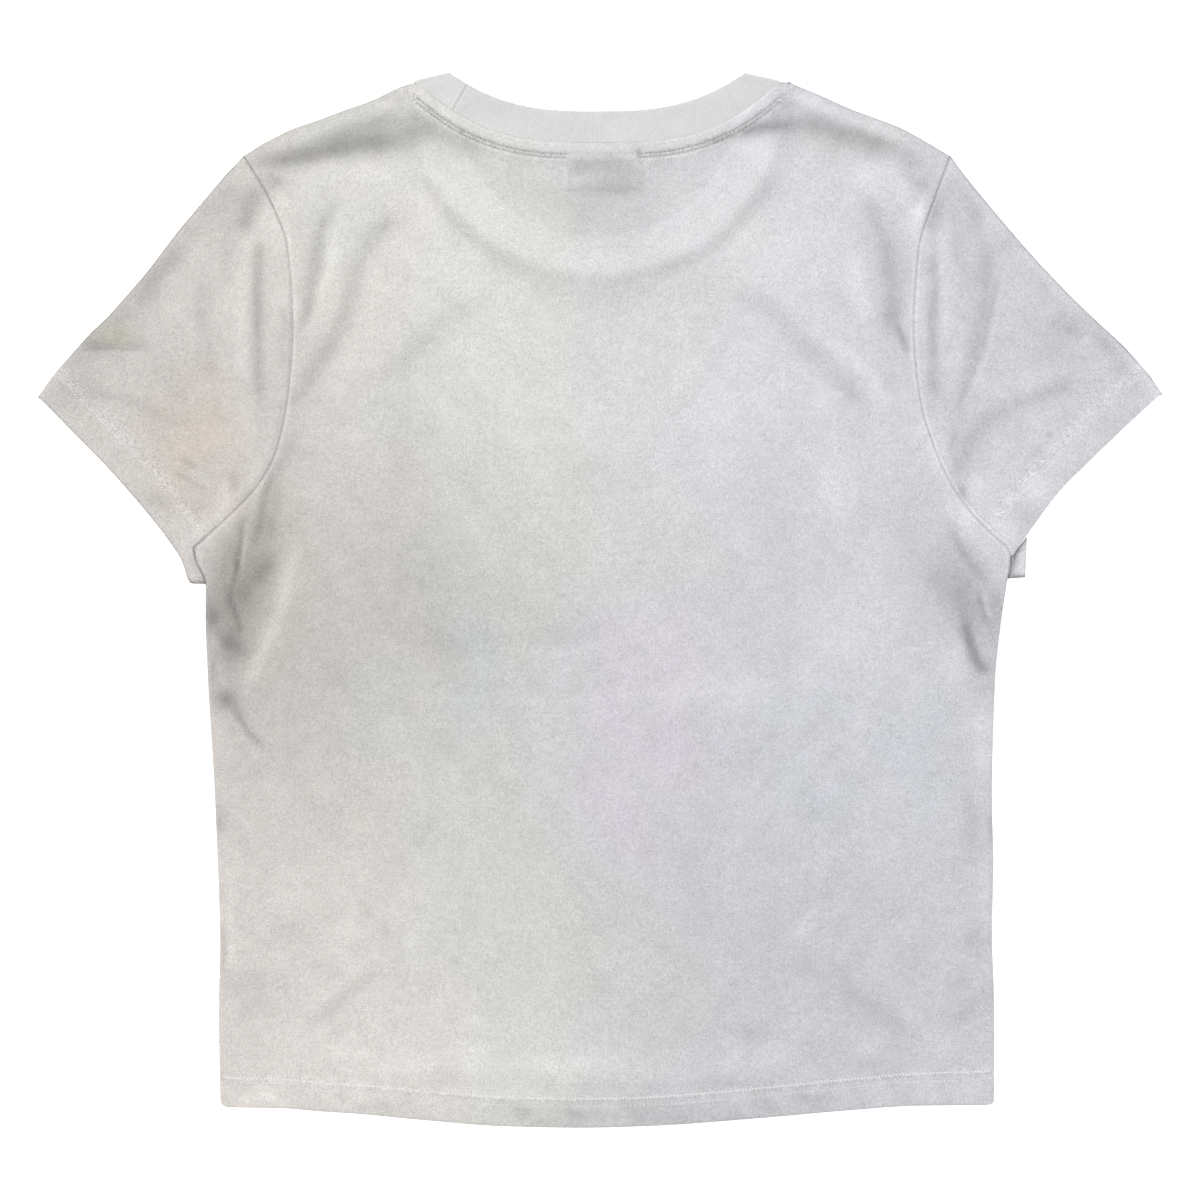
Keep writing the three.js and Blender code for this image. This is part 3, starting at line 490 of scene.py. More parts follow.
def between(x, low, lowDone, high, highDone):
    # 1 from lowDone to high, 0 outside low and highDone
    return ease(x, low, lowDone) * (1 - ease(x, high, highDone))


def ridge(x, middle, width):
    # 1 in the middle, fading to both sides
    return np.exp(-(((x - middle) / width) ** 2))


def curve(rows, key, value, at):
    # a smooth curve through the rows of a table that never swings past them
    keys, values = rows[key], rows[value]
    at = np.clip(at, keys[0], keys[-1])
    step = np.diff(keys)
    rise = np.diff(values) / step
    slope = np.zeros_like(values)
    slope[0], slope[-1] = rise[0], rise[-1]
    same = rise[:-1] * rise[1:] > 0
    total = np.where(same, rise[:-1] + rise[1:], 1)
    slope[1:-1] = np.where(same, 2 * rise[:-1] * rise[1:] / total, 0)
    i = np.clip(np.searchsorted(keys, at, side="right") - 1, 0, len(keys) - 2)
    t = (at - keys[i]) / step[i]
    fromLow = (2 * t**3 - 3 * t**2 + 1) * values[i] + (t**3 - 2 * t**2 + t) * step[i] * slope[i]
    fromHigh = (3 * t**2 - 2 * t**3) * values[i + 1] + (t**3 - t**2) * step[i] * slope[i + 1]
    return fromLow + fromHigh


def softNoise(x, y, size, seed):
    # smooth random hills about `size` across, from -1 to 1
    lattice = np.random.default_rng(seed).uniform(-1, 1, (64, 64))
    u, v = x / size + 700.3, y / size + 700.7
    i, j = np.floor(u).astype(int), np.floor(v).astype(int)
    fu, fv = u - i, v - j
    fu = fu**3 * (fu * (fu * 6 - 15) + 10)
    fv = fv**3 * (fv * (fv * 6 - 15) + 10)
    low = mix(lattice[i % 64, j % 64], lattice[(i + 1) % 64, j % 64], fu)
    high = mix(lattice[i % 64, (j + 1) % 64], lattice[(i + 1) % 64, (j + 1) % 64], fu)
    return mix(low, high, fv)


def waves(x, y, rows):
    # soft noise of several sizes; each row is a height, a size and a seed
    return sum(height * softNoise(x, y, size, seed) for height, size, seed in rows)


def nearPath(path, x, y):
    # nearest distance to a path of points, and how far along it, from 0 to 1
    best = np.full(np.shape(x), 1e9)
    where = np.zeros(np.shape(x))
    count = len(path) - 1
    for i in range(count):
        a, b = path[i], path[i + 1]
        d = b - a
        q = np.clip(((x - a[0]) * d[0] + (y - a[1]) * d[1]) / max(d @ d, 1e-9), 0, 1)
        gap = np.hypot(x - a[0] - q * d[0], y - a[1] - q * d[1])
        closer = gap < best
        best = np.where(closer, gap, best)
        where = np.where(closer, (i + q) / count, where)
    return best, where


def rounded(points, times=2):
    # cuts the corners of a path of points
    path = np.array(points, float)
    for _ in range(times):
        near, far = mix(path[:-1], path[1:], 0.25), mix(path[:-1], path[1:], 0.75)
        path = np.concatenate([path[:1], np.stack([near, far], 1).reshape(-1, 2)[1:-1], path[-1:]])
    return path


def lengthAlong(points):
    return np.concatenate([[0], np.cumsum(np.linalg.norm(np.diff(points, axis=0), axis=1))])


def unitRows(vectors):
    return vectors / np.maximum(np.linalg.norm(vectors, axis=-1, keepdims=True), 1e-9)


# points of the outline and seams


def hemPoint(across):
    x = mix(sideSeam["left"]["x"][0], sideSeam["right"]["x"][0], across)
    return np.stack([x, curve(hemEdge, "x", "y", x)], -1)


def shoulderPoint(side, q):
    # q from the tip of the shoulder to the neck
    y = mix(tip["y"], neckSeam["top"], q) + curve(shoulderRise[side], "at", "out", q)
    return np.stack([mix(tip[side], neckSeam[side], q), y], -1)


def backNeck(line, q):
    # q from the left shoulder to the right one
    y = line["top"] - line["backDrop"] * (1 - np.abs(2 * q - 1) ** line["square"])
    return np.stack([mix(line["left"], line["right"], q), y], -1)


def frontNeck(line, q):
    middle, half = (line["left"] + line["right"]) / 2, (line["right"] - line["left"]) / 2
    return np.stack([middle - half * np.cos(np.pi * q), line["top"] - line["frontDrop"] * np.sin(np.pi * q)], -1)


def belowNeck(q, distance):
    # a point inside the back neck seam, square to it
    at = backNeck(neckSeam, q)
    ahead = unitRows(backNeck(neckSeam, q + 0.001) - at)
    return at + np.stack([ahead[:, 1], -ahead[:, 0]], -1) * distance


def cuffPoint(side, at):
    return np.stack([curve(cuffEdge[side], "at", "x", at), curve(cuffEdge[side], "at", "y", at)], -1)


def edgePoint(side, y):
    # the side seam below the underarm, the armhole above it
    low, high = sideSeam[side], armhole[side]
    return np.stack([np.where(y < high["y"][0], curve(low, "y", "x", y), curve(high, "y", "x", y)), y], -1)


def armholePoint(side, at):
    # at from 0 on the shoulder to 1 under the arm, then on down the underarm fold
    at = np.asarray(at, float)
    y = mix(tip["y"], armhole[side]["y"][0], np.minimum(at, 1))
    return edgePoint(side, mix(y, foldBottom[side], np.clip((at - 1) / (foldEnd - 1), 0, 1)))


def bowOut(side, t):
    # how far the top fold stands out of a straight line, t of the way along it
    line = cuffPoint(side, 0.0) - armholePoint(side, 0.0)
    line /= np.linalg.norm(line)
    out = np.array([-line[1], line[0]]) * outward[side]
    return curve(sleeveBow[side], "at", "out", t)[..., None] * out


unit = np.linspace(0, 1, 25)
topPath, sidePath, armPath, shoulderPath, cuffPath = {}, {}, {}, {}, {}
for side in sides:
    topPath[side] = mix(armholePoint(side, 0.0), cuffPoint(side, 0.0), unit[:, None]) + bowOut(side, unit)
    sidePath[side] = edgePoint(side, np.linspace(-285.5, foldBottom[side], 40))
    armPath[side] = armholePoint(side, np.linspace(0, foldEnd, 53))
    shoulderPath[side] = shoulderPoint(side, unit)
    cuffPath[side] = np.concatenate([cuffPoint(side, unit), cuffPoint(side, np.linspace(1, foldEnd, 16))])
neckPath = backNeck(neckSeam, np.linspace(0, 1, 61))
rightRound = [sidePath["right"], cuffPath["right"][::-1], topPath["right"][::-1], shoulderPath["right"]]
leftRound = [shoulderPath["left"][::-1], topPath["left"], cuffPath["left"], sidePath["left"][::-1]]
outline = np.concatenate([hemPoint(unit), *rightRound, backNeck(bandEdge, unit)[::-1], *leftRound])


def neckRings(x, y):
    # signed distances outside the free edge of the front neckband and outside its seam allowance
    middle = (bandEdge["left"] + bandEdge["right"]) / 2
    down = np.maximum(neckSeam["top"] - y, 0)
    inner = np.hypot((x - middle) / ((bandEdge["right"] - bandEdge["left"]) / 2), down / bandEdge["frontDrop"])
    wide = (neckSeam["right"] - neckSeam["left"]) / 2 + shirt["bandAllowance"]
    deep = neckSeam["frontDrop"] + shirt["bandAllowance"]
    outer = np.hypot((x - middle) / wide, down / deep)
    return (inner - 1) * shirt["bandRadius"], (outer - 1) * shirt["allowanceRadius"]


def underBand(x, y):
    # 1 over the front neckband, which lies under the back
    inner, outer = neckRings(x, y)
    low = ease(-y, 4 - neckSeam["top"], 30 - neckSeam["top"])
    return ease(inner, -2.4, 1.8) * (1 - ease(outer, -7.0, -1.5)) * low


def onLabel(label, x, y, soft, high=None):
    high = high or label["high"]
    across = between(x, label["left"] - soft, label["left"], label["right"], label["right"] + soft)
    return across * between(y, label["low"] - soft, label["low"], high, high + soft)


def hemRise(x, y):
    # distance up from the bottom edge, and from the hem's stitching
    up = y - curve(hemEdge, "x", "y", x)
    widen = shirt["hemWiden"] * (np.maximum(x, 0) / shirt["hemHalf"]) ** 2
    return up, up - (shirt["hemDepth"] + widen)


def hemShare(x, y):
    # 1 on a doubled hem
    step = 0.9
    share = 1 - ease(hemRise(x, y)[1], -step, step)
    for side in sides:
        gap, _ = nearPath(cuffPath[side], x, y)
        onSleeve = ease(outward[side] * (x - edgePoint(side, y)[..., 0]), -2, 0.6)
        share = np.maximum(share, onSleeve * (1 - ease(gap, shirt["cuffDepth"] - step, shirt["cuffDepth"] + step)))
    return share


def clothThickness(x, y):
    return mix(shirt["jersey"], shirt["hem"], hemShare(x, y))


# how high the upper layer lies, and the shade in its folds
lie = {
    "clear": 0.4,  # above two layers, at the outline
    "air": 1.9,  # loft of the back over the front in the middle
    "edgeReach": 14.0,  # how far in from the outline the loft takes to grow
    "creaseReach": 7.0,  # the same for creases and waves
    "neckSeam": 0.9,  # how much higher the seam lies, and then the cloth over other parts
    "overBand": 0.6,
    "overOpening": -0.5,
    "overNeckLabel": 0.35,
    "overCareLabel": 0.55,
    "waves": ((0.42, 70, 11), (0.3, 34, 12), (0.12, 15, 13)),  # the uneven lie of washed jersey
    "fineWaves": ((0.035, 6.5, 14),),
    "rumple": 0.16,
}
creaseLook = {
    "wander": 0.25,  # to the side, as a share of its width
    "wanderMost": 0.9,
    "wanderSize": 17,
    "uneven": 0.18,  # how much its depth varies along it
    "unevenSize": 19,
    "flank": 0.38,  # share of a wide crease that fades out slowly
    "flankReach": 4.5,
}
# the cloth's own grey, the painted light and shade on it and its random mottling, in levels of grey
shade = {
    "pale": 210,  # the cloth's own
    "darkest": 90,
    "lightest": 250,
    "gamma": 2.2,
    "overBand": 7.5,
    "neckLabel": 14,
    "mottle": ((1.6, 26, 21), (2.2, 10, 22), (2.4, 5, 23)),
    "rumple": 2.6,
    "shoulder": 8,
    "shoulderEdge": 24,
}


def creaseField(x, y):
    lift, level = np.zeros(x.shape), np.zeros(x.shape)
    for i, (width, height, tone, *points) in enumerate(creases):
        path = rounded(points)
        length = lengthAlong(path)[-1]
        low, high = path.min(0) - 5 * width, path.max(0) + 5 * width
        near = (x > low[0]) & (x < high[0]) & (y > low[1]) & (y < high[1])
        if not near.any():
            continue
        wander, size = min(creaseLook["wanderMost"], creaseLook["wander"] * width), creaseLook["wanderSize"]
        px = x[near] + wander * softNoise(x[near], y[near], size, 300 + i)
        py = y[near] + wander * softNoise(x[near], y[near], size, 400 + i)
        gap, where = nearPath(path, px, py)
        bumpy = softNoise(where * length, np.full(where.shape, 7.0 * i), creaseLook["unevenSize"], 500)
        taper = min(0.45 * length, 1.6 * width + 1.5)
        ends = ease(where * length, -0.9 * width, taper) * ease((1 - where) * length, -0.9 * width, taper)
        flank = creaseLook["flank"] * ease(np.float64(width), 1.4, 3.6)
        section = mix(ridge(gap, 0, width), np.exp(-((gap / width) ** 2) / creaseLook["flankReach"]), flank)
        inside = ends * (1 + creaseLook["uneven"] * bumpy) * section
        lift[near] += height * inside
        level[near] += tone * inside
    return lift, level


def rumple(x, y, size=9):
    # faint slanting creases, running down and inwards from the arms
    left = softNoise(0.80 * x + 0.6 * y, (0.80 * y - 0.6 * x) * 0.3, size, 15)
    right = softNoise(0.80 * x - 0.6 * y, (0.80 * y + 0.6 * x) * 0.3, size, 16)
    return mix(left, right, ease(x, -60, 60))


def upperHeight(x, y):
    inward, _ = nearPath(outline, x, y)
    doubled = 2 * (shirt["hem"] - shirt["jersey"]) * hemShare(x, y)
    z = 2 * shirt["jersey"] + lie["clear"] + lie["air"] * (1 - np.exp(-inward / lie["edgeReach"])) + doubled
    z += lie["neckSeam"] * ridge(nearPath(neckPath, x, y)[0], 0, 16)
    inOpening = 1 - ease(neckRings(x, y)[0], -4, 0)
    z += lie["overBand"] * underBand(x, y) + lie["overOpening"] * inOpening
    z += lie["overNeckLabel"] * onLabel(neckLabel, x, y, 1.6) + lie["overCareLabel"] * onLabel(careLabel, x, y, 3.5)
    free = 1 - np.exp(-inward / lie["creaseReach"])
    z += free * (creaseField(x, y)[0] + waves(x, y, lie["waves"]) + lie["rumple"] * rumple(x, y))
    z += waves(x, y, lie["fineWaves"])
    # two layers always lie under the outer face
    low, soft = 2 * shirt["jersey"] + 0.3 + doubled, 0.25
    return low + soft * np.logaddexp(0, (z - low) / soft)


def creaseShade(x, y):
    # levels of grey added by the creases, the broad patches, and what lies under the cloth: painted shade in
    # troughs and painted light on ridges and rumples, painted light and shade in the patches, and random mottling
    _, level = creaseField(x, y)
    for px, py, wide, high, turn, change in patches:
        cos, sin = math.cos(math.radians(turn)), math.sin(math.radians(turn))
        across, up = (x - px) * cos + (y - py) * sin, (y - py) * cos - (x - px) * sin
        level += change * np.exp(-((across / wide) ** 2 + (up / high) ** 2) / 2)
    # painted shade in a line round the front neckband's allowance, softer in the middle
    _, outer = neckRings(x, y)
    below, aside = ease(-y, -246, -236), ease(np.abs(x - 2), 10, 60)
    level += shade["overBand"] * underBand(x, y) - (8 + 5 * aside) * ridge(outer, 0, 4.6) * below
    level -= 7 * (1 - aside) * ridge(outer, 8, 7) * below
    # painted shade over the fold in the left cuff, which has one sharp side
    level -= 17 * between(x, -297, -290, -266, -252) * between(y, 141.4, 142.4, 143, 152)
    # straight edges of the label inside the side seam
    level += 5 * ridge(y, -208.5, 1.6) * between(x, -213, -209, -186, -176)
    # the size label shows as a darker block below its pale sewn edge
    level -= onLabel(neckLabel, x, y, 2.6, 249.5) * (shade["neckLabel"] + 5 * softNoise(x, y, 11, 24))
    level += 9 * ridge(x, -19.5, 1.2) * between(y, 233, 238, 247, 252)
    return level + waves(x, y, shade["mottle"]) + shade["rumple"] * rumple(x, y)


def shoulderLight(x, y):
    # painted light in a band just inside the shoulder seams, and painted shade in a line where the cloth turns over
    level = np.zeros(np.shape(x))
    for side in sides:
        gap, where = nearPath(shoulderPath[side], x, y)
        level += shade["shoulder"] * between(where, 0.02, 0.15, 0.75, 0.95) * ridge(gap, 6, 3.6)
        level -= shade["shoulderEdge"] * ridge(gap, 0, 0.8)
    return level


def toTone(level):
    # levels of grey to a share of the cloth's own lightness
    grey = np.clip(shade["pale"] + level, shade["darkest"], shade["lightest"])
    return (grey / shade["pale"]) ** shade["gamma"] - 1


# meshes


def gridNormals(points, ring=False):
    # for a grid of points (rows, columns, 3), facing up where rows run towards +y and columns towards +x
    du = np.roll(points, -1, axis=1) - np.roll(points, 1, axis=1) if ring else np.gradient(points, axis=1)
    return unitRows(np.cross(du, np.gradient(points, axis=0)))


def addMesh(name, vertices, faces, material, smooth=True):
    # faces is an array of quads, or a list with an array of quads and then single faces of any size
    quads, *others = faces if isinstance(faces, list) else [faces]
    corners = np.concatenate([np.ravel(quads), *others]).astype(np.int32)
    sizes = np.array([4] * len(quads) + [len(face) for face in others])
    mesh = bpy.data.meshes.new(name)
    mesh.vertices.add(len(vertices))
    mesh.vertices.foreach_set("co", (np.asarray(vertices) * mm).astype(np.float32).ravel())
    mesh.loops.add(len(corners))
    mesh.loops.foreach_set("vertex_index", corners)
    mesh.polygons.add(len(sizes))
    mesh.polygons.foreach_set("loop_start", (np.cumsum(sizes) - sizes).astype(np.int32))
    mesh.polygons.foreach_set("use_smooth", np.full(len(sizes), smooth))
    mesh.update(calc_edges=True)
    mesh.validate()
    mesh.materials.append(material)
    piece = bpy.data.objects.new(name, mesh)
    bpy.context.scene.collection.objects.link(piece)
    return piece


def gridFaces(rows, columns, start=0, wrap=False, wrapRows=False):
    i = np.arange(rows if wrapRows else rows - 1)[:, None]
    j = np.arange(columns if wrap else columns - 1)[None, :]
    this, following = start + i * columns, start + (i + 1) % rows * columns
    right = (j + 1) % columns
    return np.stack([this + j, this + right, following + right, following + j], -1).reshape(-1, 4)


def bridge(loop, count):
    # faces from a loop of outer points to the inner points under them
    following = np.roll(loop, -1)
    return np.stack([loop + count, following + count, following, loop], -1)


def sheetParts(outer, inner):
    # points of a sheet with two sides, the numbering of its outer ones, and the faces of its top and rim
    index = np.arange(outer[..., 0].size).reshape(outer.shape[:2])
    rim = np.concatenate([index[0, :-1], index[:-1, -1], index[-1, :0:-1], index[:0:-1, 0]])
    vertices = np.concatenate([outer.reshape(-1, 3), inner.reshape(-1, 3)])
    return vertices, index, gridFaces(*index.shape), bridge(rim, index.size)


def closedSheet(outer, inner):
    vertices, index, top, rim = sheetParts(outer, inner)
    return vertices, np.concatenate([top, top[:, ::-1] + index.size, rim])


def coarseLining(outer, inner, skip=3):
    # like closedSheet, with the hidden side in larger faces
    vertices, index, top, rim = sheetParts(outer, inner)
    rows, columns = index.shape
    rowPicks = sorted({*range(0, rows - skip, skip), rows - 1})
    columnPicks = sorted({*range(0, columns - skip, skip), columns - 1})
    under = index + index.size
    found = []
    for r0, r1 in zip(rowPicks[:-1], rowPicks[1:]):
        for c0, c1 in zip(columnPicks[:-1], columnPicks[1:]):
            # every point of the rim is kept
            face = [under[r0, c0], *(under[r0, c0 + 1 : c1] if r0 == 0 else ())]
            face += [under[r0, c1], *(under[r0 + 1 : r1, c1] if c1 == columns - 1 else ())]
            face += [under[r1, c1], *(under[r1, c0 + 1 : c1][::-1] if r1 == rows - 1 else ())]
            face += [under[r1, c0], *(under[r0 + 1 : r1, c0][::-1] if c0 == 0 else ())]
            found.append(face[::-1])
    quads = np.concatenate([top, rim, np.array([face for face in found if len(face) == 4])])
    others = [face for face in found if len(face) > 4]
    # leave out the inner points that no face uses
    used = np.unique(np.concatenate([quads.ravel(), *others]))
    renumber = np.zeros(len(vertices), int)
    renumber[used] = np.arange(len(used))
    return vertices[used], [renumber[quads], *[renumber[face] for face in others]], used


def paint(piece, used=slice(None), copies=2, **shares):
    # values at the points, for the cloth's shader
    for name, values in shares.items():
        attribute = piece.data.attributes.new(name, "FLOAT", "POINT")
        attribute.data.foreach_set("value", np.tile(np.ravel(values), copies)[used].astype(np.float32))


def place(piece, solid, slot):
    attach(piece, "root")
    if solid:
        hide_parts(solid)
    return piece


# materials


def newMaterial(name, values):
    material = bpy.data.materials.new(name)
    material.use_nodes = True
    shader = material.node_tree.nodes["Principled BSDF"]
    for key, value in values.items():
        shader.inputs[key].default_value = value
    return material, material.node_tree, shader


def node(tree, kind, *inputs, operation=None, **named):
    # a new shader node; inputs are sockets to link or values to set, in order or by name
    made = tree.nodes.new("ShaderNode" + kind)
    if operation:
        made.operation = operation
    for key, value in [*enumerate(inputs), *((name.replace("_", " "), value) for name, value in named.items())]:
        if hasattr(value, "is_output"):
            tree.links.new(value, made.inputs[key])
        else:
            made.inputs[key].default_value = value
    return made


def maths(tree, operation, *values):
    return node(tree, "Math", *values, operation=operation).outputs[0]


def noise(tree, where, scale, detail):
    return node(tree, "TexNoise", Vector=where, Scale=scale, Detail=detail).outputs["Fac"]


def pointValue(tree, name):
    made = tree.nodes.new("ShaderNodeAttribute")
    made.attribute_name = name
    return made.outputs["Fac"]


def tintMix(tree, share, a, b):
    made = tree.nodes.new("ShaderNodeMix")
    made.data_type = "RGBA"
    tree.links.new(share, made.inputs[0])
    tree.links.new(a, made.inputs[6])
    made.inputs[7].default_value = b
    return made.outputs[2]


def blob(tree, where, centre, size):
    # a soft round patch: 1 in the middle, 0 past its edge
    moved = node(tree, "VectorMath", where, (centre[0] * mm, centre[1] * mm, 0), operation="SUBTRACT").outputs[0]
    share = (1 / (size[0] * mm), 1 / (size[1] * mm), 0)
    scaled = node(tree, "VectorMath", moved, share, operation="MULTIPLY").outputs[0]
    away = node(tree, "VectorMath", scaled, operation="LENGTH").outputs["Value"]
    ramp = node(tree, "MapRange", away, To_Min=1, To_Max=0)
    ramp.interpolation_type = "SMOOTHERSTEP"
    return ramp.outputs["Result"]


jerseyLook = {
    # painted tint of the light: the white drifts from warm on the left to cool on the right; places are shares of
    # the way across
    "drift": (
        (0.15, (0.703, 0.665, 0.636, 1)),
        (0.27, (0.694, 0.665, 0.637, 1)),
        (0.36, (0.669, 0.665, 0.638, 1)),
        (0.44, (0.665, 0.665, 0.648, 1)),
        (0.51, (0.665, 0.665, 0.671, 1)),
        (0.59, (0.672, 0.665, 0.690, 1)),
        (0.70, (0.673, 0.665, 0.706, 1)),
    ),
    "blue": (0.64, 0.668, 0.706, 1),
    "green": (0.655, 0.668, 0.634, 1),
    "warmTint": (0.715, 0.632, 0.552, 1),
    "olive": (0.67, 0.65, 0.56, 1),
    "rose": (0.712, 0.66, 0.64, 1),
    "lilac": (0.69, 0.655, 0.715, 1),
    "grain": 0.375,
    "busyGrain": 1.1,  # how much more of it beside stitching
    "fine": 1500.0,
    "streak": 900.0,
    "soft": 260.0,
    "column": 0.0011,  # metres from one column of knit stitches to the next
    "course": 0.0009,
    "relief": 0.00022,
    "driftSize": (7.0, 3.0),  # scale and detail of the noise, as for the next
    "patchSize": (30.0, 4.0),
    "width": 0.64,  # metres
    "shader": {"Roughness": 0.93, "Specular IOR Level": 0.25, "Sheen Weight": 0.12, "Sheen Roughness": 0.5},
}
# coloured patches painted over the cloth: tints of the light, and warm tints in the shade of folds on the left
# sleeve and underarm; the colour, its middle, its reach each way, how strong
paintedTints = (
    ("blue", (112, -92), (125, 95), 0.9),
    ("green", (-40, 205), (90, 70), 0.7),
    ("green", (-145, 255), (95, 52), 1.3),
    ("green", (150, 264), (70, 24), 0.7),
    ("green", (85, 195), (40, 85), 0.4),
    ("green", (45, 170), (38, 90), 0.7),
    ("green", (-145, 208), (48, 45), 1.2),
    ("green", (-120, -62), (50, 55), 1.5),
    ("green", (20, -262), (45, 30), 0.5),
    ("blue", (185, -80), (75, 80), 0.9),
    ("blue", (-70, -45), (40, 65), 0.9),
    ("lilac", (20, -80), (95, 135), 1.5),
    ("lilac", (165, -225), (75, 70), 0.7),
    ("rose", (-122, 62), (45, 50), 0.9),
    ("rose", (-95, -235), (45, 35), 0.8),
    ("green", (10, -225), (80, 60), 0.5),
    ("warmTint", (-230, 92), (46, 60), 1.5),
    ("olive", (-240, 125), (24, 11), 0.9),
    ("olive", (-276, 151), (20, 10), 1.0),
    ("olive", (-195, 197), (6, 6), 0.8),
    ("olive", (-192, 15), (42, 80), 0.75),
    ("warmTint", (-196, 45), (30, 40), 0.4),
)


def jerseyMaterial(name, turn=0.0):
    look = jerseyLook
    material, tree, shader = newMaterial(name, look["shader"])
    where = tree.nodes.new("ShaderNodeTexCoord").outputs["Object"]

    wander = maths(tree, "MULTIPLY_ADD", noise(tree, where, *look["driftSize"]), 0.24, -0.12)
    across = maths(tree, "ADD", node(tree, "SeparateXYZ", where).outputs["X"], wander)
    ramp = node(tree, "ValToRGB", maths(tree, "MULTIPLY_ADD", across, 1 / look["width"], 0.5))
    stops = look["drift"]
    for element, (place, colour) in zip(ramp.color_ramp.elements, (stops[0], stops[-1])):
        element.position, element.color = place, colour
    for place, colour in stops[1:-1]:
        ramp.color_ramp.elements.new(place).color = colour
    colour = ramp.outputs["Color"]
    cloudy = maths(tree, "MULTIPLY_ADD", noise(tree, where, *look["patchSize"]), 2.4, -0.7)
    # painted tints of light and shade, patch by patch
    for tint, centre, size, strength in paintedTints:
        share = maths(tree, "MULTIPLY", blob(tree, where, centre, size), strength)
        share = maths(tree, "MINIMUM", maths(tree, "MULTIPLY", share, cloudy), 1.0)
        colour = tintMix(tree, maths(tree, "MAXIMUM", share, 0.0), colour, look[tint])

    # grain of the knit: fine specks, faint upright streaks and soft mottling, busier beside stitching
    turned = node(tree, "Mapping", Vector=where, Rotation=(0, 0, turn)).outputs[0]
    streaked = node(tree, "Mapping", Vector=turned, Scale=(1, 0.65, 1)).outputs[0]
    streak = noise(tree, streaked, look["streak"], 1.0)
    grain = maths(tree, "MULTIPLY_ADD", noise(tree, turned, look["fine"], 1.0), 1.4, streak)
    grain = maths(tree, "MULTIPLY_ADD", noise(tree, where, look["soft"], 2.0), 0.4, grain)
    grain = maths(tree, "ADD", grain, -1.4)
    busy = look["busyGrain"] * look["grain"]
    reach = maths(tree, "MULTIPLY_ADD", pointValue(tree, "busy"), busy, look["grain"])
    speck = maths(tree, "MULTIPLY_ADD", grain, reach, 1.0)
    # the points' tone brings in the painted light and shade
    speck = maths(tree, "MULTIPLY", speck, maths(tree, "ADD", pointValue(tree, "tone"), 1.0))
    toned = node(tree, "VectorMath", colour, operation="SCALE", Scale=speck)
    tree.links.new(toned.outputs[0], shader.inputs["Base Color"])

    # columns of stitches, each one a pair of small slanted loops
    parts = node(tree, "SeparateXYZ", turned).outputs
    column = maths(tree, "SINE", maths(tree, "MULTIPLY", parts["X"], 2 * math.pi / look["column"]))
    column = maths(tree, "ABSOLUTE", column)
    slant = maths(tree, "MULTIPLY", column, 1.6)
    course = maths(tree, "SINE", maths(tree, "MULTIPLY_ADD", parts["Y"], 2 * math.pi / look["course"], slant))
    knit = maths(tree, "MULTIPLY_ADD", column, 0.8, maths(tree, "MULTIPLY", course, 0.35))
    rough = maths(tree, "MULTIPLY_ADD", grain, 3.0, knit)
    bump = node(tree, "Bump", Height=rough, Strength=0.5, Distance=look["relief"])
    tree.links.new(bump.outputs[0], shader.inputs["Normal"])
    return material


def plainCloth(name, colour, scale, strength, roughness=0.9):
    material, tree, shader = newMaterial(name, {"Roughness": roughness, "Specular IOR Level": 0.3})
    fibres = noise(tree, tree.nodes.new("ShaderNodeTexCoord").outputs["Object"], scale, 3.0)
    pale = maths(tree, "MULTIPLY_ADD", fibres, 0.3, 0.85)
    # the points' tone brings in the painted light and shade
    pale = maths(tree, "MULTIPLY", pale, maths(tree, "ADD", pointValue(tree, "tone"), 1.0))
    toned = node(tree, "VectorMath", colour, operation="SCALE", Scale=pale)
    tree.links.new(toned.outputs[0], shader.inputs["Base Color"])
    bump = node(tree, "Bump", Height=fibres, Strength=strength, Distance=0.0002)
    tree.links.new(bump.outputs[0], shader.inputs["Normal"])
    return material


backCloth = jerseyMaterial("jersey back")
leftCloth = jerseyMaterial("jersey left sleeve", math.radians(-49))
rightCloth = jerseyMaterial("jersey right sleeve", math.radians(48))
frontCloth = jerseyMaterial("jersey front")
ribCloth = plainCloth("rib", (0.68, 0.68, 0.675), 1100, 0.3)
tapeCloth = plainCloth("tape", (0.66, 0.655, 0.65), 700, 0.3)
labelCloth = plainCloth("label satin", (0.72, 0.72, 0.73), 1200, 0.15, 0.55)
threadCloth = plainCloth("sewing thread", (0.9, 0.885, 0.875), 2500, 0.3, 0.7)
cuffThread = plainCloth("cuff thread", (0.855, 0.835, 0.83), 2500, 0.3, 0.7)
# this thread is grey, darker than the cloth: painted shade of the grooves it lies in
shadedNeckThread = plainCloth("neck thread", (0.56, 0.56, 0.55), 2500, 0.3, 0.8)
print("materials made")


# seams and stitching on the cloth
seams = {
    "grooveDepth": 0.4,
    "grooveWidth": 0.8,
    "pucker": 0.12,
    "allowance": 0.3,  # the seam allowance lies on the sleeve side
    "hemGroove": 0.15,
    "twinRows": (6.9, 9.0),  # distances of the topstitching from the neck seam
    "twinMiddle": 7.95,
    "twinShade": (46, 34),
    "twinGroove": 0.3,
    "roping": 0.32,  # slanting ripples in the bottom hem
    "cuffGroove": 0.12,
    "cuffRipple": 0.2,
}


def armGroove(x, y):
    dip = np.zeros(np.shape(x))
    for side in sides:
        gap, where = nearPath(armPath[side], x, y)
        where = where * foldEnd
        ripple = softNoise(where * shirt["armhole"], where * 0 + 3, 6, 61)
        depth = seams["grooveDepth"] * (1 - 0.55 * ease(where, 0.15, 0.35)) * (1 + 0.8 * ease(where, 0.97, 1.03))
        if side == "right":
            depth *= 1 - 0.5 * between(where, 0.68, 0.78, 0.86, 0.94)
        dip += seams["pucker"] * ripple * ridge(gap, 0, 5) - depth * ridge(gap, 0, seams["grooveWidth"])
    return dip


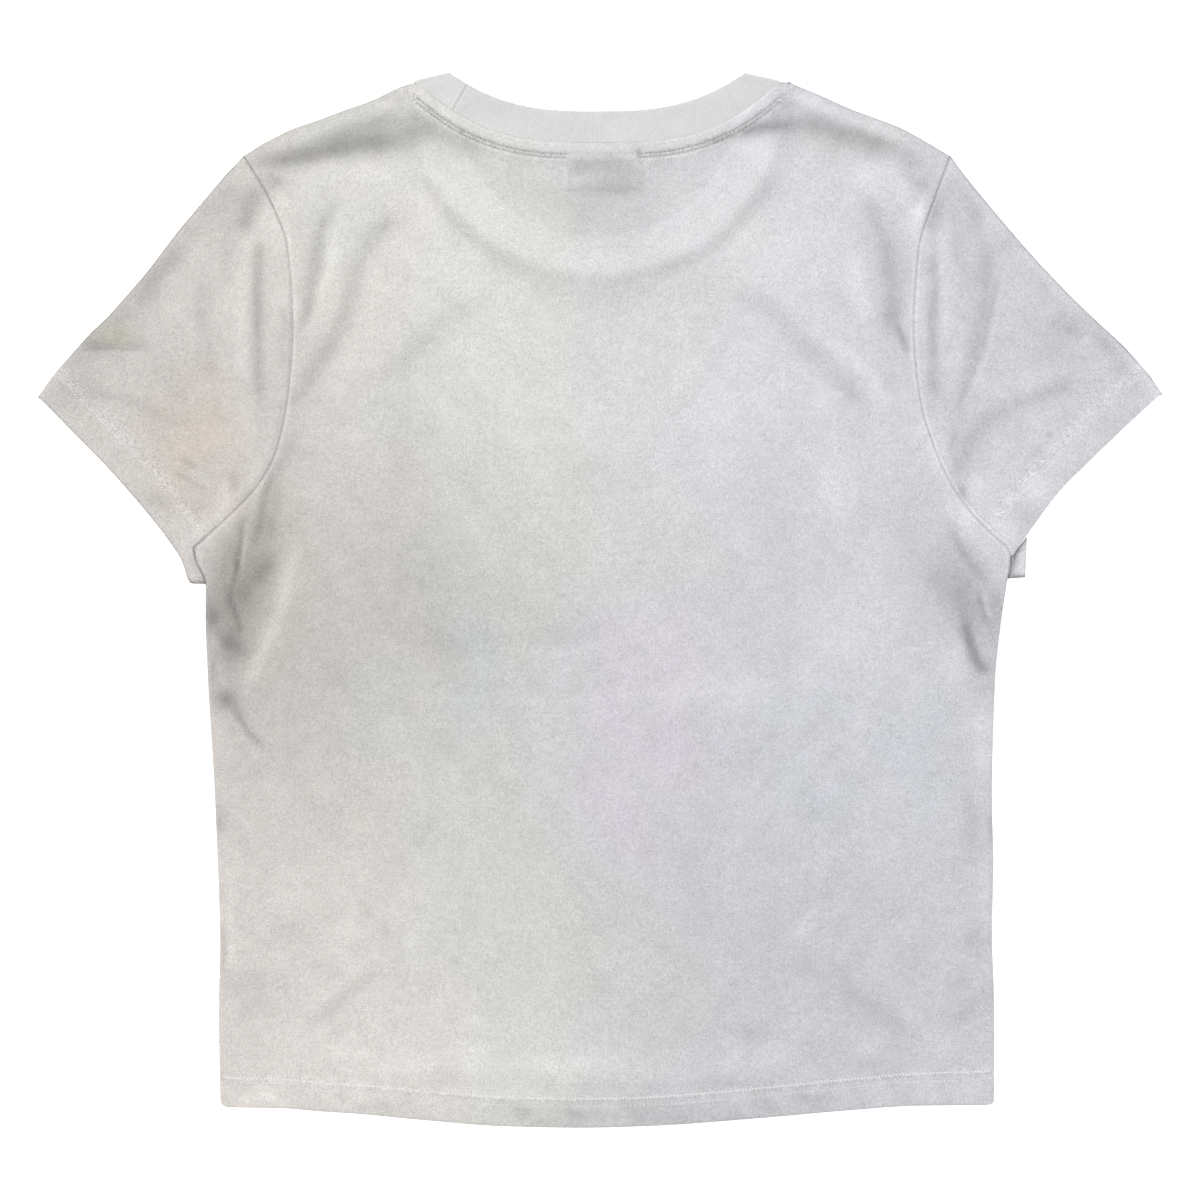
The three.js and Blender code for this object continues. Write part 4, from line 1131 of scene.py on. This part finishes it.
def armShade(side, x, y, onBody):
    # a thin dark line in the seam, with the light catching beside it
    gap, where = nearPath(armPath[side], x, y)
    where = where * foldEnd
    deep = 5 + 24 * (1 - ease(where, 0.12, 0.3)) + 4 * softNoise(where * shirt["armhole"], gap * 0, 30, 62)
    if side == "left":
        deep += 9 * ease(where, 0.42, 0.58) + 10 * ease(where, 0.7, 0.8)
    else:
        deep += 6 * between(where, 0.4, 0.5, 0.66, 0.78) + 10 * ease(where, 0.86, 0.94)
    deep += 22 * ease(where, 0.97, 1.03)
    level = -deep * ridge(gap, 0, 0.62)
    beside = 9 * ridge(gap, 1.5, 0.8)
    if onBody:
        return level + beside * ease(where, 0.1, 0.3)
    level -= 8 * ridge(gap, 2.6, 0.5) * ease(where, 0.55, 0.75)
    if side == "left":
        return level - 12 * ridge(gap, 1.2, 1.0) * between(where, 0.3, 0.4, 0.52, 0.62)
    return level + beside * ease(where, 0.15, 0.3)


def roping(x, up):
    return softNoise(x + 0.9 * up, up * 0.15, 7.5, 72)


def hemDetail(x, y):
    up, above = hemRise(x, y)
    strength = 0.7 + 0.6 * softNoise(x, y * 0, 60, 71)
    ripple = seams["roping"] * ease(up, 0.5, 4) * (1 - ease(above, -4.5, -0.8)) * roping(x, up) * strength
    pucker = seams["pucker"] * softNoise(x, up * 0, 3.4, 73) * ridge(above, 0, 3.4)
    return ripple + pucker - seams["hemGroove"] * ridge(above, -0.9, 0.7)


def neckParts(x, y):
    # distance below the neck seam, 1 along it but for its ends, and how much the label covers
    gap, where = nearPath(neckPath, x, y)
    return gap, between(where, 0.0, 0.03, 0.97, 1.0), onLabel(neckLabel, x, y, 1.2, 262)


def neckDetail(x, y):
    gap, ends, covered = neckParts(x, y)
    rows = sum(ridge(gap, row, 0.5) for row in seams["twinRows"])
    strip = 0.4 * between(gap, 0, 1.6, 4.2, 6.6)
    sewn = 0.15 * ridge(gap, seams["twinMiddle"], 0.45) - seams["twinGroove"] * rows
    return ends * (strip + sewn * (1 - covered) + 0.25 * covered)


def seamShade(x, y):
    # painted shade in the armhole, neck and hem seams' grooves and at the hem's edge, painted light on the ridges
    # beside them, and random mottling by the hem
    level = armShade("left", x, y, True) + armShade("right", x, y, True)
    gap, ends, covered = neckParts(x, y)
    for row, deep in zip(seams["twinRows"], seams["twinShade"]):
        level -= deep * ends * (1 - 0.95 * covered) * ridge(gap, row, 0.46)
    level += ends * (8 * between(gap, 0.4, 1.6, 4.4, 6.0) + 10 * ridge(gap, 1.0, 0.7))
    level += (1 - covered) * ends * 10 * ridge(gap, 10.4, 0.7)
    level += 4 * covered * ease(gap, 1.5, 2.5)
    up, above = hemRise(x, y)
    level += 4 * softNoise(x, up * 0, 9, 74) * ridge(above, 0, 5) - 9 * ridge(above, -1.5, 0.6)
    level += 7 * roping(x, up) * ease(up, 0.5, 4) * (1 - ease(above, -5, -2))
    return level - 16 * ridge(up, 0, 0.7)


def busyness(x, y):
    # where stitching makes the cloth's grain busier
    gap, _, covered = neckParts(x, y)
    return ridge(gap, seams["twinMiddle"], 2.0) * (1 - covered) + 0.8 * ridge(hemRise(x, y)[1], -0.6, 1.6)


def cuffDetail(side, x, y):
    gap, where = nearPath(cuffPath[side], x, y)
    rows = sum(ridge(gap, row, 0.8) for row in (shirt["cuffDepth"], shirt["cuffDepth"] - shirt["cuffRows"]))
    ripple = seams["cuffRipple"] * softNoise(where * shirt["cuff"], gap * 0.2, 6, 91) * (1 - ease(gap, 13, 19))
    return ripple - seams["cuffGroove"] * rows


def cuffShade(side, x, y):
    # painted shade along the cuff's edge, lighter over the coverstitch, and random mottling
    gap, where = nearPath(cuffPath[side], x, y)
    mottle = 4 * softNoise(where * shirt["cuff"], gap * 0.3, 9, 92) * (1 - ease(gap, 18, 24))
    edge = 30 if side == "left" else 20 * ease(where, 0.45, 0.7)
    return 4 * cuffMiddle(gap) + mottle - edge * ridge(gap, 0, 0.7)


def cuffMiddle(gap):
    # 1 in the middle of the cuff's coverstitch
    return ridge(gap, shirt["cuffDepth"] - shirt["cuffRows"] / 2, 3.2)


def backSurface(x, y):
    # height of the back's outer face, before it turns over at its edges
    return upperHeight(x, y) + armGroove(x, y) + hemDetail(x, y) + neckDetail(x, y)


def turnedHeight(z, gap, low):
    # cloth rounds down to the seam at a turned edge
    inside = np.clip(gap / shirt["foldRound"], 0, 1)
    return low + (z - low) * np.sqrt(np.maximum(1 - (1 - inside) ** 2, 0))


# back and front
panelGrid = {
    "edge": (0, 0.0022, 0.0055, 0.011, 0.018, 0.028),  # shares of a shoulder, close together at the outline
    # distances from the hem's edge and from the top
    "hem": (0, 0.25, 0.7, 1.5, 3, 5, 7.2, 9.4, 11.6, 13.2, 14.4, 15.2, 15.8, 16.3, 16.8, 17.3, 17.8, 18.3, 18.8)
    + (19.4, 20.4, 22),
    "top": (0, 0.25, 0.6, 1.1, 1.7, 2.4, 3.2, 4, 4.8, 5.6, 6.2, 6.6, 6.9, 7.2, 7.6, 8.1, 8.6, 9, 9.4, 9.9, 10.5)
    + (11.1, 11.7, 12.3, 12.9, 13.6, 14.5),
    "bottom": -285.5,
    "shoulder": 103,  # lengths of a shoulder and the neck that the spacing is counted in
    "neck": 205,
    "levels": (-262.5, -35, 60, 237),  # the underarms lie between the middle two
    # spacing near the sides, beside the neck and at the neck; then below, beside and above the underarms
    "back": ((1.3, 2.1, 2.1), (2.3, 1.5, 2.0)),
    "front": ((3.6, 3.6, 3.6), (4.6, 4.6, 4.0)),
}


def spaced(low, high, step):
    return np.linspace(low, high, max(2, int(round(abs(high - low) / step)) + 1))


def panelPlan(neckLine, across, up):
    # plan places of a grid between the hem, the two sides, and the shoulders and neck
    shoulder, neck = panelGrid["shoulder"], panelGrid["neck"]
    outside, inside = spaced(0.04, 0.46, across[0] / shoulder), spaced(0.46, 1, across[1] / shoulder)
    q = np.concatenate([panelGrid["edge"], outside, inside[1:]])
    neckQ = spaced(0, 1, across[2] / neck)[1:-1]
    left, right = shoulderPoint("left", q), shoulderPoint("right", q[::-1])
    top = np.concatenate([left, neckLine(neckSeam, neckQ), right])
    topX = np.concatenate([left[:, 0], mix(neckSeam["left"], neckSeam["right"], neckQ), right[:, 0]])
    wide = tip["right"] - tip["left"]
    s = (topX - tip["left"]) / wide
    hem = hemPoint(s)
    length = np.linalg.norm(top - hem, axis=1)
    height = tip["y"] - panelGrid["bottom"]
    levels = [(y - panelGrid["bottom"]) / height for y in panelGrid["levels"]]
    ups = [spaced(low, high, step / height)[1:] for low, high, step in zip(levels, levels[1:], up)]
    t = [d / length for d in panelGrid["hem"]] + [1 - d / length for d in panelGrid["top"]]
    t += [np.full(len(s), value) for value in np.concatenate([levels[:1], *ups])]
    t = np.sort(t, axis=0)
    plan = mix(hem[None], top[None], t[..., None])
    neckStart = (neckSeam["left"] - tip["left"]) / wide
    for side, end, away in (("left", 0, s), ("right", -1, 1 - s)):
        pull = np.maximum(0, 1 - away / neckStart) ** 1.5
        straight = mix(hem[end], top[end], t[..., None])
        curved = edgePoint(side, mix(hem[end, 1], tip["y"], t))
        plan = plan + pull[None, :, None] * (curved - straight)
    return plan


def makeBack():
    x, y = np.moveaxis(panelPlan(backNeck, *panelGrid["back"]), -1, 0)
    gap = np.min([nearPath(path[side], x, y)[0] for path in (sidePath, shoulderPath) for side in sides], axis=0)
    outer = np.stack([x, y, turnedHeight(backSurface(x, y), gap, shirt["seamZ"])], -1)
    inner = outer - gridNormals(outer) * clothThickness(x, y)[..., None]
    vertices, faces, used = coarseLining(outer, inner)
    piece = addMesh("back_cloth", vertices, faces, backCloth)
    level = creaseShade(x, y) + shoulderLight(x, y) + seamShade(x, y)
    paint(piece, used, tone=toTone(level), busy=busyness(x, y))
    return piece


frontLie = {
    "inset": 1.1,  # inside the back's turned edges
    "hemInset": 0.6,
    "height": 0.12,
    "waves": ((0.1, 30, 81), (0.04, 9, 82)),
    "edgeLift": 0.45,
    "reach": 12,  # how far in from an edge the inset fades out
    "underarm": (16, 29),  # it fades out upwards between these heights too
    "hemFade": (-286, -270),
}


def makeFront():
    x, y = np.moveaxis(panelPlan(frontNeck, *panelGrid["front"]), -1, 0)
    gaps = []
    for side in sides:
        near, _ = nearPath(sidePath[side], x, y)
        below = 1 - ease(y, *frontLie["underarm"])
        x -= outward[side] * frontLie["inset"] * (1 - ease(near, 0, frontLie["reach"])) * below
        gaps.append(near)
        near, _ = nearPath(shoulderPath[side], x, y)
        y -= frontLie["inset"] * (1 - ease(near, 0, frontLie["reach"]))
        gaps.append(near)
    y += frontLie["hemInset"] * (1 - ease(y, *frontLie["hemFade"]))
    # it never sinks into the floor
    low = np.maximum(frontLie["height"] + waves(x, y, frontLie["waves"]), 0)
    low += frontLie["edgeLift"] * (1 - ease(np.min(gaps, axis=0), 0, 2.2))
    top, bottom = np.stack([x, y, low + clothThickness(x, y)], -1), np.stack([x, y, low], -1)
    return addMesh("front_cloth", *closedSheet(top, bottom), frontCloth)


# sleeves
sleeveGrid = {
    "across": 106,
    "fold": 12,
    "under": 52,
    "turn": np.array([0.0, 0.0008, 0.003, 0.0065, 0.011, 0.017]),  # close together at the top fold
    # distances from the armhole seam, from the hem's stitching and from the cuff's edge, and the rows between them
    "seam": (0.05, 0.35, 0.7, 1.2, 1.7, 2.2, 2.7, 3.4),
    "stitches": (-3, -1.5, 0, 1.5, 3, 4.5),
    "edge": (1.9, 1.0, 0.45, 0.15, 0),
    "rows": (65, 7),
    "middle": 0.4,  # height of the folds over a seam
    "flapAir": 0.3,
}


def sleeveRows(side, at):
    # shares of the way from armhole to cuff
    length = np.maximum(np.linalg.norm(cuffPoint(side, at) - armholePoint(side, at), axis=-1), 14)
    hem = np.maximum(1 - shirt["cuffDepth"] / length, 0.3)
    seam = [d / length for d in sleeveGrid["seam"]]
    stitches = [hem + d / length for d in sleeveGrid["stitches"]]
    edge = [1 - d / length for d in sleeveGrid["edge"]]
    rows = [*seam, *stitches, *edge]
    for low, high, count in zip((seam[-1], stitches[-1]), (stitches[0], edge[0]), sleeveGrid["rows"]):
        rows += [mix(low, high, q) for q in np.linspace(0, 1, count)[1:-1]]
    return np.clip(np.sort(rows, axis=0), 0.05 / length, 1)


def sleeveShape(side):
    # outer points, thickness and shade; its columns go round the upper side, the fold under it and the lower side
    turn = sleeveGrid["turn"]
    upper = np.concatenate([turn, np.linspace(0.026, 0.974, sleeveGrid["across"]), 1 - turn[::-1]])
    folded = np.concatenate([[1.006, 1.02], np.linspace(1.04, 1.27, sleeveGrid["fold"]), [1.285, 1.295, foldEnd]])
    lower = np.linspace(0, foldEnd, sleeveGrid["under"] + 2)[1:-1][::-1]
    ats = np.concatenate([upper, folded, lower])
    kind = np.repeat([0, 1, 2], [len(upper), len(folded), len(lower)])
    rows = sleeveRows(side, ats)
    plan = mix(armholePoint(side, ats)[None], cuffPoint(side, ats)[None], rows[..., None])
    plan = plan + bowOut(side, rows) * (np.maximum(0, 1 - ats / 0.3) ** 1.6)[None, :, None]
    x, y = plan[..., 0], plan[..., 1]
    seamGap, _ = nearPath(armPath[side], x, y)
    z = upperHeight(x, y) + armGroove(x, y) + cuffDetail(side, x, y)
    z += seams["allowance"] * between(seamGap, 0.3, 2, 5, 8)
    bottomLine = np.array([armholePoint(side, foldEnd), cuffPoint(side, foldEnd)])
    bottomGap, topGap = nearPath(bottomLine, x, y)[0], nearPath(topPath[side], x, y)[0]
    middle = shirt["seamZ"] + sleeveGrid["middle"]
    z = turnedHeight(z, topGap, middle)
    thick = clothThickness(x, y)
    seed = 120 if side == "left" else 140
    if side == "right":
        # the hem turns back on itself here and shows as a thin flap under the sleeve's edge
        thick = np.where(ats > 1, shirt["jersey"], thick)
        flap = 2 * shirt["jersey"] + sleeveGrid["flapAir"] + 0.12 * softNoise(x, y, 5, seed)
        z = np.where(kind == 0, flap + (z - flap) * np.sqrt(np.clip((1 - ats) / 0.006, 0, 1)), z)
        z = np.where(kind == 1, turnedHeight(flap, bottomGap, middle), z)
    else:
        z = turnedHeight(z, bottomGap, middle)
    z = np.where(ats == foldEnd, middle, z)
    z = np.where(kind == 2, np.maximum(0.1 + 0.1 * softNoise(x, y, 24, seed + 1), 0.0), z)
    level = creaseShade(x, y) + cuffShade(side, x, y) + armShade(side, x, y, False)
    # painted shade where the cloth turns over at the top fold and at the bottom of the fold under it
    level -= 16 * ridge(topGap, 0, 0.8) + 30 * ridge(bottomGap, 0, 1.6) * (kind == 1)
    if side == "right":
        # painted shadow in the slit under the sleeve's edge and along the flap's bottom, the flap lighter, and
        # painted light beside the top fold
        slit = np.array([[243.4, 37.5], [239.5, 29.5], [235, 22.8], [233.9, 15.7]])
        dark = 40 * ridge(nearPath(slit, x, y)[0], 0, 1.5) + 26 * ridge(x, 236.5, 2.4) * ridge(y, 22, 3.4)
        dark += 46 * ridge(bottomGap, 0, mix(2.3, 1.2, ease(x, 233, 241)))
        level += (kind == 1) * (8 + 6 * ease(x, 237, 240) - dark) + 6 * ridge(topGap, 3, 2.5)
    return np.stack([x, y, z], -1), thick, level


def makeSleeve(side, material):
    outer, thick, level = sleeveShape(side)
    normals = gridNormals(outer, ring=True)
    rows, around = thick.shape
    if normals[rows // 2, around // 4, 2] < 0:
        normals = -normals
    vertices = np.concatenate([outer.reshape(-1, 3), (outer - normals * thick[..., None]).reshape(-1, 3)])
    shell = gridFaces(rows, around, wrap=True)
    index = np.arange(thick.size).reshape(thick.shape)
    ends = [bridge(index[0], thick.size), bridge(index[-1], thick.size)[:, ::-1]]
    faces = np.concatenate([shell, shell[:, ::-1] + thick.size, *ends])
    piece = addMesh("sleeve_" + side + "_cloth", vertices, faces[:, ::-1] if side == "left" else faces, material)
    cuffGap, _ = nearPath(cuffPath[side], outer[..., 0], outer[..., 1])
    paint(piece, tone=toTone(level), busy=cuffMiddle(cuffGap))
    return piece


# neckband
bandLook = {
    "thick": 1.7,
    "air": 0.1,  # between its upper and lower halves
    "ribPitch": 1.45,
    "ribDepth": 0.13,
    "across": 12,
    "backCount": 560,
    "frontCount": 820,
    "foldCount": 11,
    "foldIn": 0.02,  # share of the neckline where the folds at the shoulders begin
    "foldTurn": 80,
    "freeHeight": 1.35,
    "mottle": ((2.5, 12, 34), (2, 3, 35)),
    "join": np.array([[-83.8, 279.3], [-75.8, 293.4]]),  # a narrow groove where its two ends meet
}


def turnOver(side, low, high, first):
    # stations round the fold at a shoulder, from `first` degrees up to as many down, or back
    middle, radius = (high + low) / 2, (high - low) / 2
    up = np.array([0, 0, 1.0])
    a = np.array([neckSeam[side], neckSeam["top"], middle])
    b = np.array([bandEdge[side], bandEdge["top"], middle])
    out = np.cross(up, unitRows(b - a))
    out = out if out[1] > 0 else -out
    rows = []
    for turn in np.radians(np.linspace(first, -first, bandLook["foldCount"])):
        normal = out * math.cos(turn) + up * math.sin(turn)
        shift = (normal - out) * radius
        rows.append(np.concatenate([a + shift, b + shift, normal]))
    return rows


def bandStations():
    # seam point, free edge and outward normal along the whole ring
    low = bandLook["thick"] / 2 + bandLook["air"] / 2
    high = low + bandLook["thick"] + bandLook["air"]
    q = np.linspace(bandLook["foldIn"], 1 - bandLook["foldIn"], bandLook["backCount"])
    seam, free, away = backNeck(neckSeam, q), backNeck(bandEdge, q), np.abs(2 * q - 1)
    seamZ = upperHeight(seam[:, 0], seam[:, 1]) - 1.25 * bandLook["thick"] / 2
    seamZ = mix(np.maximum(seamZ, high), high, ease(away, 0.86, 0.98))
    freeZ = bandLook["freeHeight"] + 0.25 * softNoise(free[:, 0], free[:, 1], 30, 31)
    freeZ = mix(freeZ, high, ease(away, 0.5, 0.85))
    back = np.column_stack([seam, seamZ, free, freeZ, np.tile([0, 0, 1.0], (len(q), 1))])
    q = np.linspace(1 - bandLook["foldIn"], bandLook["foldIn"], bandLook["frontCount"])
    lows = np.full(len(q), low)
    under = np.tile([0, 0, -1.0], (len(q), 1))
    front = np.column_stack([frontNeck(neckSeam, q), lows, frontNeck(bandEdge, q), lows, under])
    folds = [turnOver("right", low, high, bandLook["foldTurn"]), turnOver("left", low, high, -bandLook["foldTurn"])]
    return np.hsplit(np.concatenate([back, folds[0], front, folds[1]]), 3)


def makeBand():
    seam, free, normal = bandStations()
    wave = np.cos(2 * np.pi * lengthAlong((seam + free) / 2) / bandLook["ribPitch"])
    # section: up the outer face from the seam, round the fold at the free edge and back down the inner face
    u = [-0.12, -0.05, 0.01, *np.linspace(0.06, 0.95, bandLook["across"]), 0.985]
    points, levels = [], []
    for v, sign in [(v, 1) for v in u] + [(1.0, 0)] + [(v, -1) for v in u[::-1]]:
        crown = math.sqrt(max(1 - ((v - 0.95) / 0.05) ** 2, 0)) if v > 0.95 else 1
        height = bandLook["thick"] / 2 * crown * (1 + 0.16 * math.sin(math.pi * max(v, 0)))
        base = mix(seam, free, v)
        gap, _ = nearPath(bandLook["join"], base[:, 0], base[:, 1])
        step = sign * (height + bandLook["ribDepth"] * wave * (0.35 + 0.65 * crown))
        # painted shade in the rib's hollows and painted light on its ribs, with random mottling
        level = 5 * wave + waves(base[:, 0], base[:, 1], bandLook["mottle"])
        if sign > 0:
            step += 0.1 * softNoise(base[:, 0], base[:, 1], 14, 33) - 0.45 * ridge(gap, 0, 0.6) - 0.5 * (v < 0)
            # painted shade in the join's groove, painted light beside it
            level += 9 * ridge(gap, 1.3, 0.7) - 26 * ridge(gap, 0, 0.5)
        points.append(base + normal * step[:, None])
        levels.append(level)
    ring = np.stack(points, 1)
    faces = gridFaces(*ring.shape[:2], wrap=True, wrapRows=True)
    piece = addMesh("neckband_rib", ring.reshape(-1, 3), faces, ribCloth)
    paint(piece, copies=1, tone=toTone(np.stack(levels, 1)))
    return piece


# neck tape and labels
tapeLook = {"from": 0.4, "to": 10.2, "ends": 0.03, "under": 0.12, "thick": 0.45}
labelLook = {"thick": 0.35, "lowest": 0.9}


def makeTape():
    q = np.linspace(tapeLook["ends"], 1 - tapeLook["ends"], 110)
    rows = []
    for distance in np.linspace(tapeLook["from"], tapeLook["to"], 9)[::-1]:
        plan = belowNeck(q, distance)
        rows.append(np.column_stack([plan, upperHeight(*plan.T) - shirt["jersey"] - tapeLook["under"]]))
    outer = np.array(rows)
    return addMesh("neck_tape_cloth", *closedSheet(outer, outer - [0, 0, tapeLook["thick"]]), tapeCloth)


def makeLabel(name, label):
    x, y = np.meshgrid(np.linspace(label["left"], label["right"], 24), np.linspace(label["low"], label["high"], 18))
    z = upperHeight(x, y) - label["drop"] - label["bow"] * ((x - x.mean()) / 20) ** 2
    outer = np.stack([x, y, np.maximum(z, labelLook["lowest"])], -1)
    return addMesh(name, *closedSheet(outer, outer - [0, 0, labelLook["thick"]]), labelCloth)


# sewing thread: places along one stitch in shares of its length, how thick it is there and how far it dips
bead = {
    "along": np.array([-0.5, -0.42, -0.2, 0, 0.2, 0.42, 0.5]),
    "girth": np.array([0.25, 0.7, 0.95, 1, 0.95, 0.7, 0.25]),
    "sink": np.array([-1.1, -0.5, 0.05, 0.18, 0.05, -0.5, -1.1]),
    "around": 6,
}
# each row is a distance, then the pitch, length and radius of its stitches, where the first one starts, how far
# they slant to and fro, and how flat they are pressed
stitching = {
    "neckSpans": ((0.012, 0.415), (0.612, 0.988)),  # shares of the neck seam, on both sides of the size label
    "neck": (2.6, 1.5, 0.3, 0.0, 0.0, 0.6),  # at the distances of the twin rows
    "hem": (
        (0.0, 1.95, 1.45, 0.52, 0.0, 0.0, 0.6),
        (4.6, 2.6, 1.7, 0.2, 0.9, 0.5, 0.6),
    ),
    "hemExtra": (2.0, 2.1, 1.5, 0.34, 0.4, 0.7, 0.6),  # between those two, on the left
    "cuff": (
        (0.0, 1.9, 1.3, 0.27, 0.0, 0.5, 0.6),
        (1.3, 1.7, 0.9, 0.27, 0.5, 0.9, 0.6),
        (2.5, 1.6, 0.9, 0.25, 0.2, 1.0, 0.6),
        (3.7, 1.8, 0.9, 0.27, 0.9, 0.9, 0.6),
        (4.8, 1.9, 1.3, 0.27, 0.6, 0.5, 0.6),
    ),
}


def stitchRow(points, pitch, length, radius, start, zigzag, flat):
    # beads of thread along a path of surface points; returns vertices and faces
    arc = lengthAlong(points)
    ring = np.linspace(0, 2 * np.pi, bead["around"], endpoint=False)
    along, sink, girth = bead["along"], bead["sink"] * radius * flat, radius * bead["girth"][:, None, None]
    one = gridFaces(len(along), bead["around"], wrap=True)
    vertices, faces = [], []
    for n, a in enumerate(np.arange(start, arc[-1] - length, pitch)):
        line = np.stack([np.interp(a + along * length + length / 2, arc, points[:, k]) for k in range(3)], -1)
        ahead = unitRows(line[-1] - line[0])
        across = unitRows(np.cross([0, 0, 1.0], ahead))
        up = np.cross(ahead, across)
        swing = zigzag * (1 if n % 2 else -1)
        line = line + across * (along[:, None] * 2 * swing) + up * sink[:, None]
        circle = np.cos(ring)[None, :, None] * across + np.sin(ring)[None, :, None] * up * flat
        vertices.append((line[:, None] + circle * girth).reshape(-1, 3))
        faces.append(one + n * len(along) * bead["around"])
    return np.concatenate(vertices), np.concatenate(faces)


def joinRows(name, rows, material):
    starts = np.cumsum([0] + [len(vertices) for vertices, _ in rows])
    faces = np.concatenate([faces + start for (_, faces), start in zip(rows, starts)])
    return addMesh(name, np.concatenate([vertices for vertices, _ in rows]), faces, material)


def alongNeck(distance, low, high):
    plan = belowNeck(np.linspace(low, high, 400), distance)
    return np.column_stack([plan, backSurface(*plan.T) + 0.05])


def alongHem(distance, low=-214.8, high=222.2):
    x = np.linspace(low, high, 700)
    y = -hemRise(x, 0)[1] - distance
    return np.column_stack([x, y, backSurface(x, y) + 0.06])


def alongCuff(side, distance):
    # beside the cuff's edge, as far as the armhole seam
    path = cuffPoint(side, np.linspace(0.0, 1.12 if side == "left" else 1.0, 320))
    ahead = unitRows(np.gradient(path, axis=0))
    plan = path - outward[side] * distance * np.stack([-ahead[:, 1], ahead[:, 0]], -1)
    keep = outward[side] * (plan[:, 0] - edgePoint(side, plan[:, 1])[:, 0]) > 2.0
    keep &= (plan[:, 1] > armhole[side]["y"][0] + 2) & (nearPath(topPath[side], *plan.T)[0] > 1.0)
    x, y = plan[keep].T
    return np.column_stack([x, y, upperHeight(x, y) + cuffDetail(side, x, y) + 0.04])


back = place(makeBack(), "back_panel", "jersey")
print("back made", len(back.data.polygons), "faces")
front = place(makeFront(), "front_panel", "jersey")
print("front made", len(front.data.polygons), "faces")
leftSleeve = place(makeSleeve("left", leftCloth), "sleeve_left", "jersey")
rightSleeve = place(makeSleeve("right", rightCloth), "sleeve_right", "jersey")
print("sleeves made", len(leftSleeve.data.polygons), "faces each")
band = place(makeBand(), "neckband", "rib")
print("neckband made", len(band.data.polygons), "faces")
tape = place(makeTape(), "neck_tape", "jersey_tape")
sizeLabel = place(makeLabel("neck_label_cloth", neckLabel), "neck_label", "woven_label")
washLabel = place(makeLabel("care_label_cloth", careLabel), "care_label", "woven_label")
print("tape and labels made")

spans = [(row, *span) for row in seams["twinRows"] for span in stitching["neckSpans"]]
neckRows = [stitchRow(alongNeck(*span), *stitching["neck"]) for span in spans]
place(joinRows("neck_topstitch", neckRows, shadedNeckThread), None, "jersey")
hemRows = [stitchRow(alongHem(distance), *thread) for distance, *thread in stitching["hem"]]
distance, *thread = stitching["hemExtra"]
hemRows.append(stitchRow(alongHem(distance, -205, -160), *thread))
place(joinRows("hem_stitches", hemRows, threadCloth), None, "jersey")
for side in sides:
    rows = []
    for distance, *thread in stitching["cuff"]:
        rows.append(stitchRow(alongCuff(side, shirt["cuffDepth"] - distance), *thread))
    place(joinRows("cuff_stitches_" + side, rows, cuffThread), None, "jersey")
print("stitches made")

# floor, light and camera
stage = {
    "size": 4000,  # half the floor's width
    "drop": -0.6,
    "floor": {
        "Base Color": (0.5, 0.5, 0.5, 1),
        "Roughness": 1.0,
        "Specular IOR Level": 0.0,
        "Emission Color": (1, 1, 1, 1),
        "Emission Strength": 0.9,
    },
    "room": 0.53,
    # place, size and power of the lamps, and the rest, in metres and watts
    "lamps": (("key", (-1.4, 1.3, 2.5), 1.0, 45), ("fill", (1.6, -0.6, 2.6), 2.0, 17.5)),
    "cameraHeight": 2.4,
    "view": 0.684,  # as wide as the whole picture
    "sensor": 36,  # millimetres
}


def makeStage():
    size = stage["size"]
    corners = [[x * size, y * size, stage["drop"]] for x, y in ((-1, -1), (1, -1), (1, 1), (-1, 1))]
    material, _, _ = newMaterial("white floor", stage["floor"])
    floor = addMesh("floor", corners, np.array([[0, 1, 2, 3]]), material, smooth=False)


def makeLight():
    world = bpy.data.worlds.new("soft white room")
    bpy.context.scene.world = world
    world.use_nodes = True
    background = world.node_tree.nodes["Background"]
    background.inputs["Color"].default_value = (1, 1, 1, 1)
    background.inputs["Strength"].default_value = stage["room"]
    for name, spot, size, power in stage["lamps"]:
        data = bpy.data.lights.new(name, "AREA")
        data.shape, data.size, data.energy = "DISK", size, power
        lamp = bpy.data.objects.new(name, data)
        bpy.context.scene.collection.objects.link(lamp)
        lamp.location = spot
        lamp.rotation_mode = "QUATERNION"
        lamp.rotation_quaternion = (-Vector(spot)).to_track_quat("-Z", "Y")


def makeCamera():
    data = bpy.data.cameras.new("camera")
    data.sensor_width = stage["sensor"]
    data.lens = stage["sensor"] * stage["cameraHeight"] / stage["view"]
    data.clip_start, data.clip_end = 0.05, 60
    camera = bpy.data.objects.new("camera", data)
    camera.location = (0, 0, stage["cameraHeight"])
    bpy.context.scene.collection.objects.link(camera)
    bpy.context.scene.camera = camera


makeStage()
makeLight()
makeCamera()
bpy.context.scene.view_settings.view_transform = "Standard"
print("stage, lights and camera made")
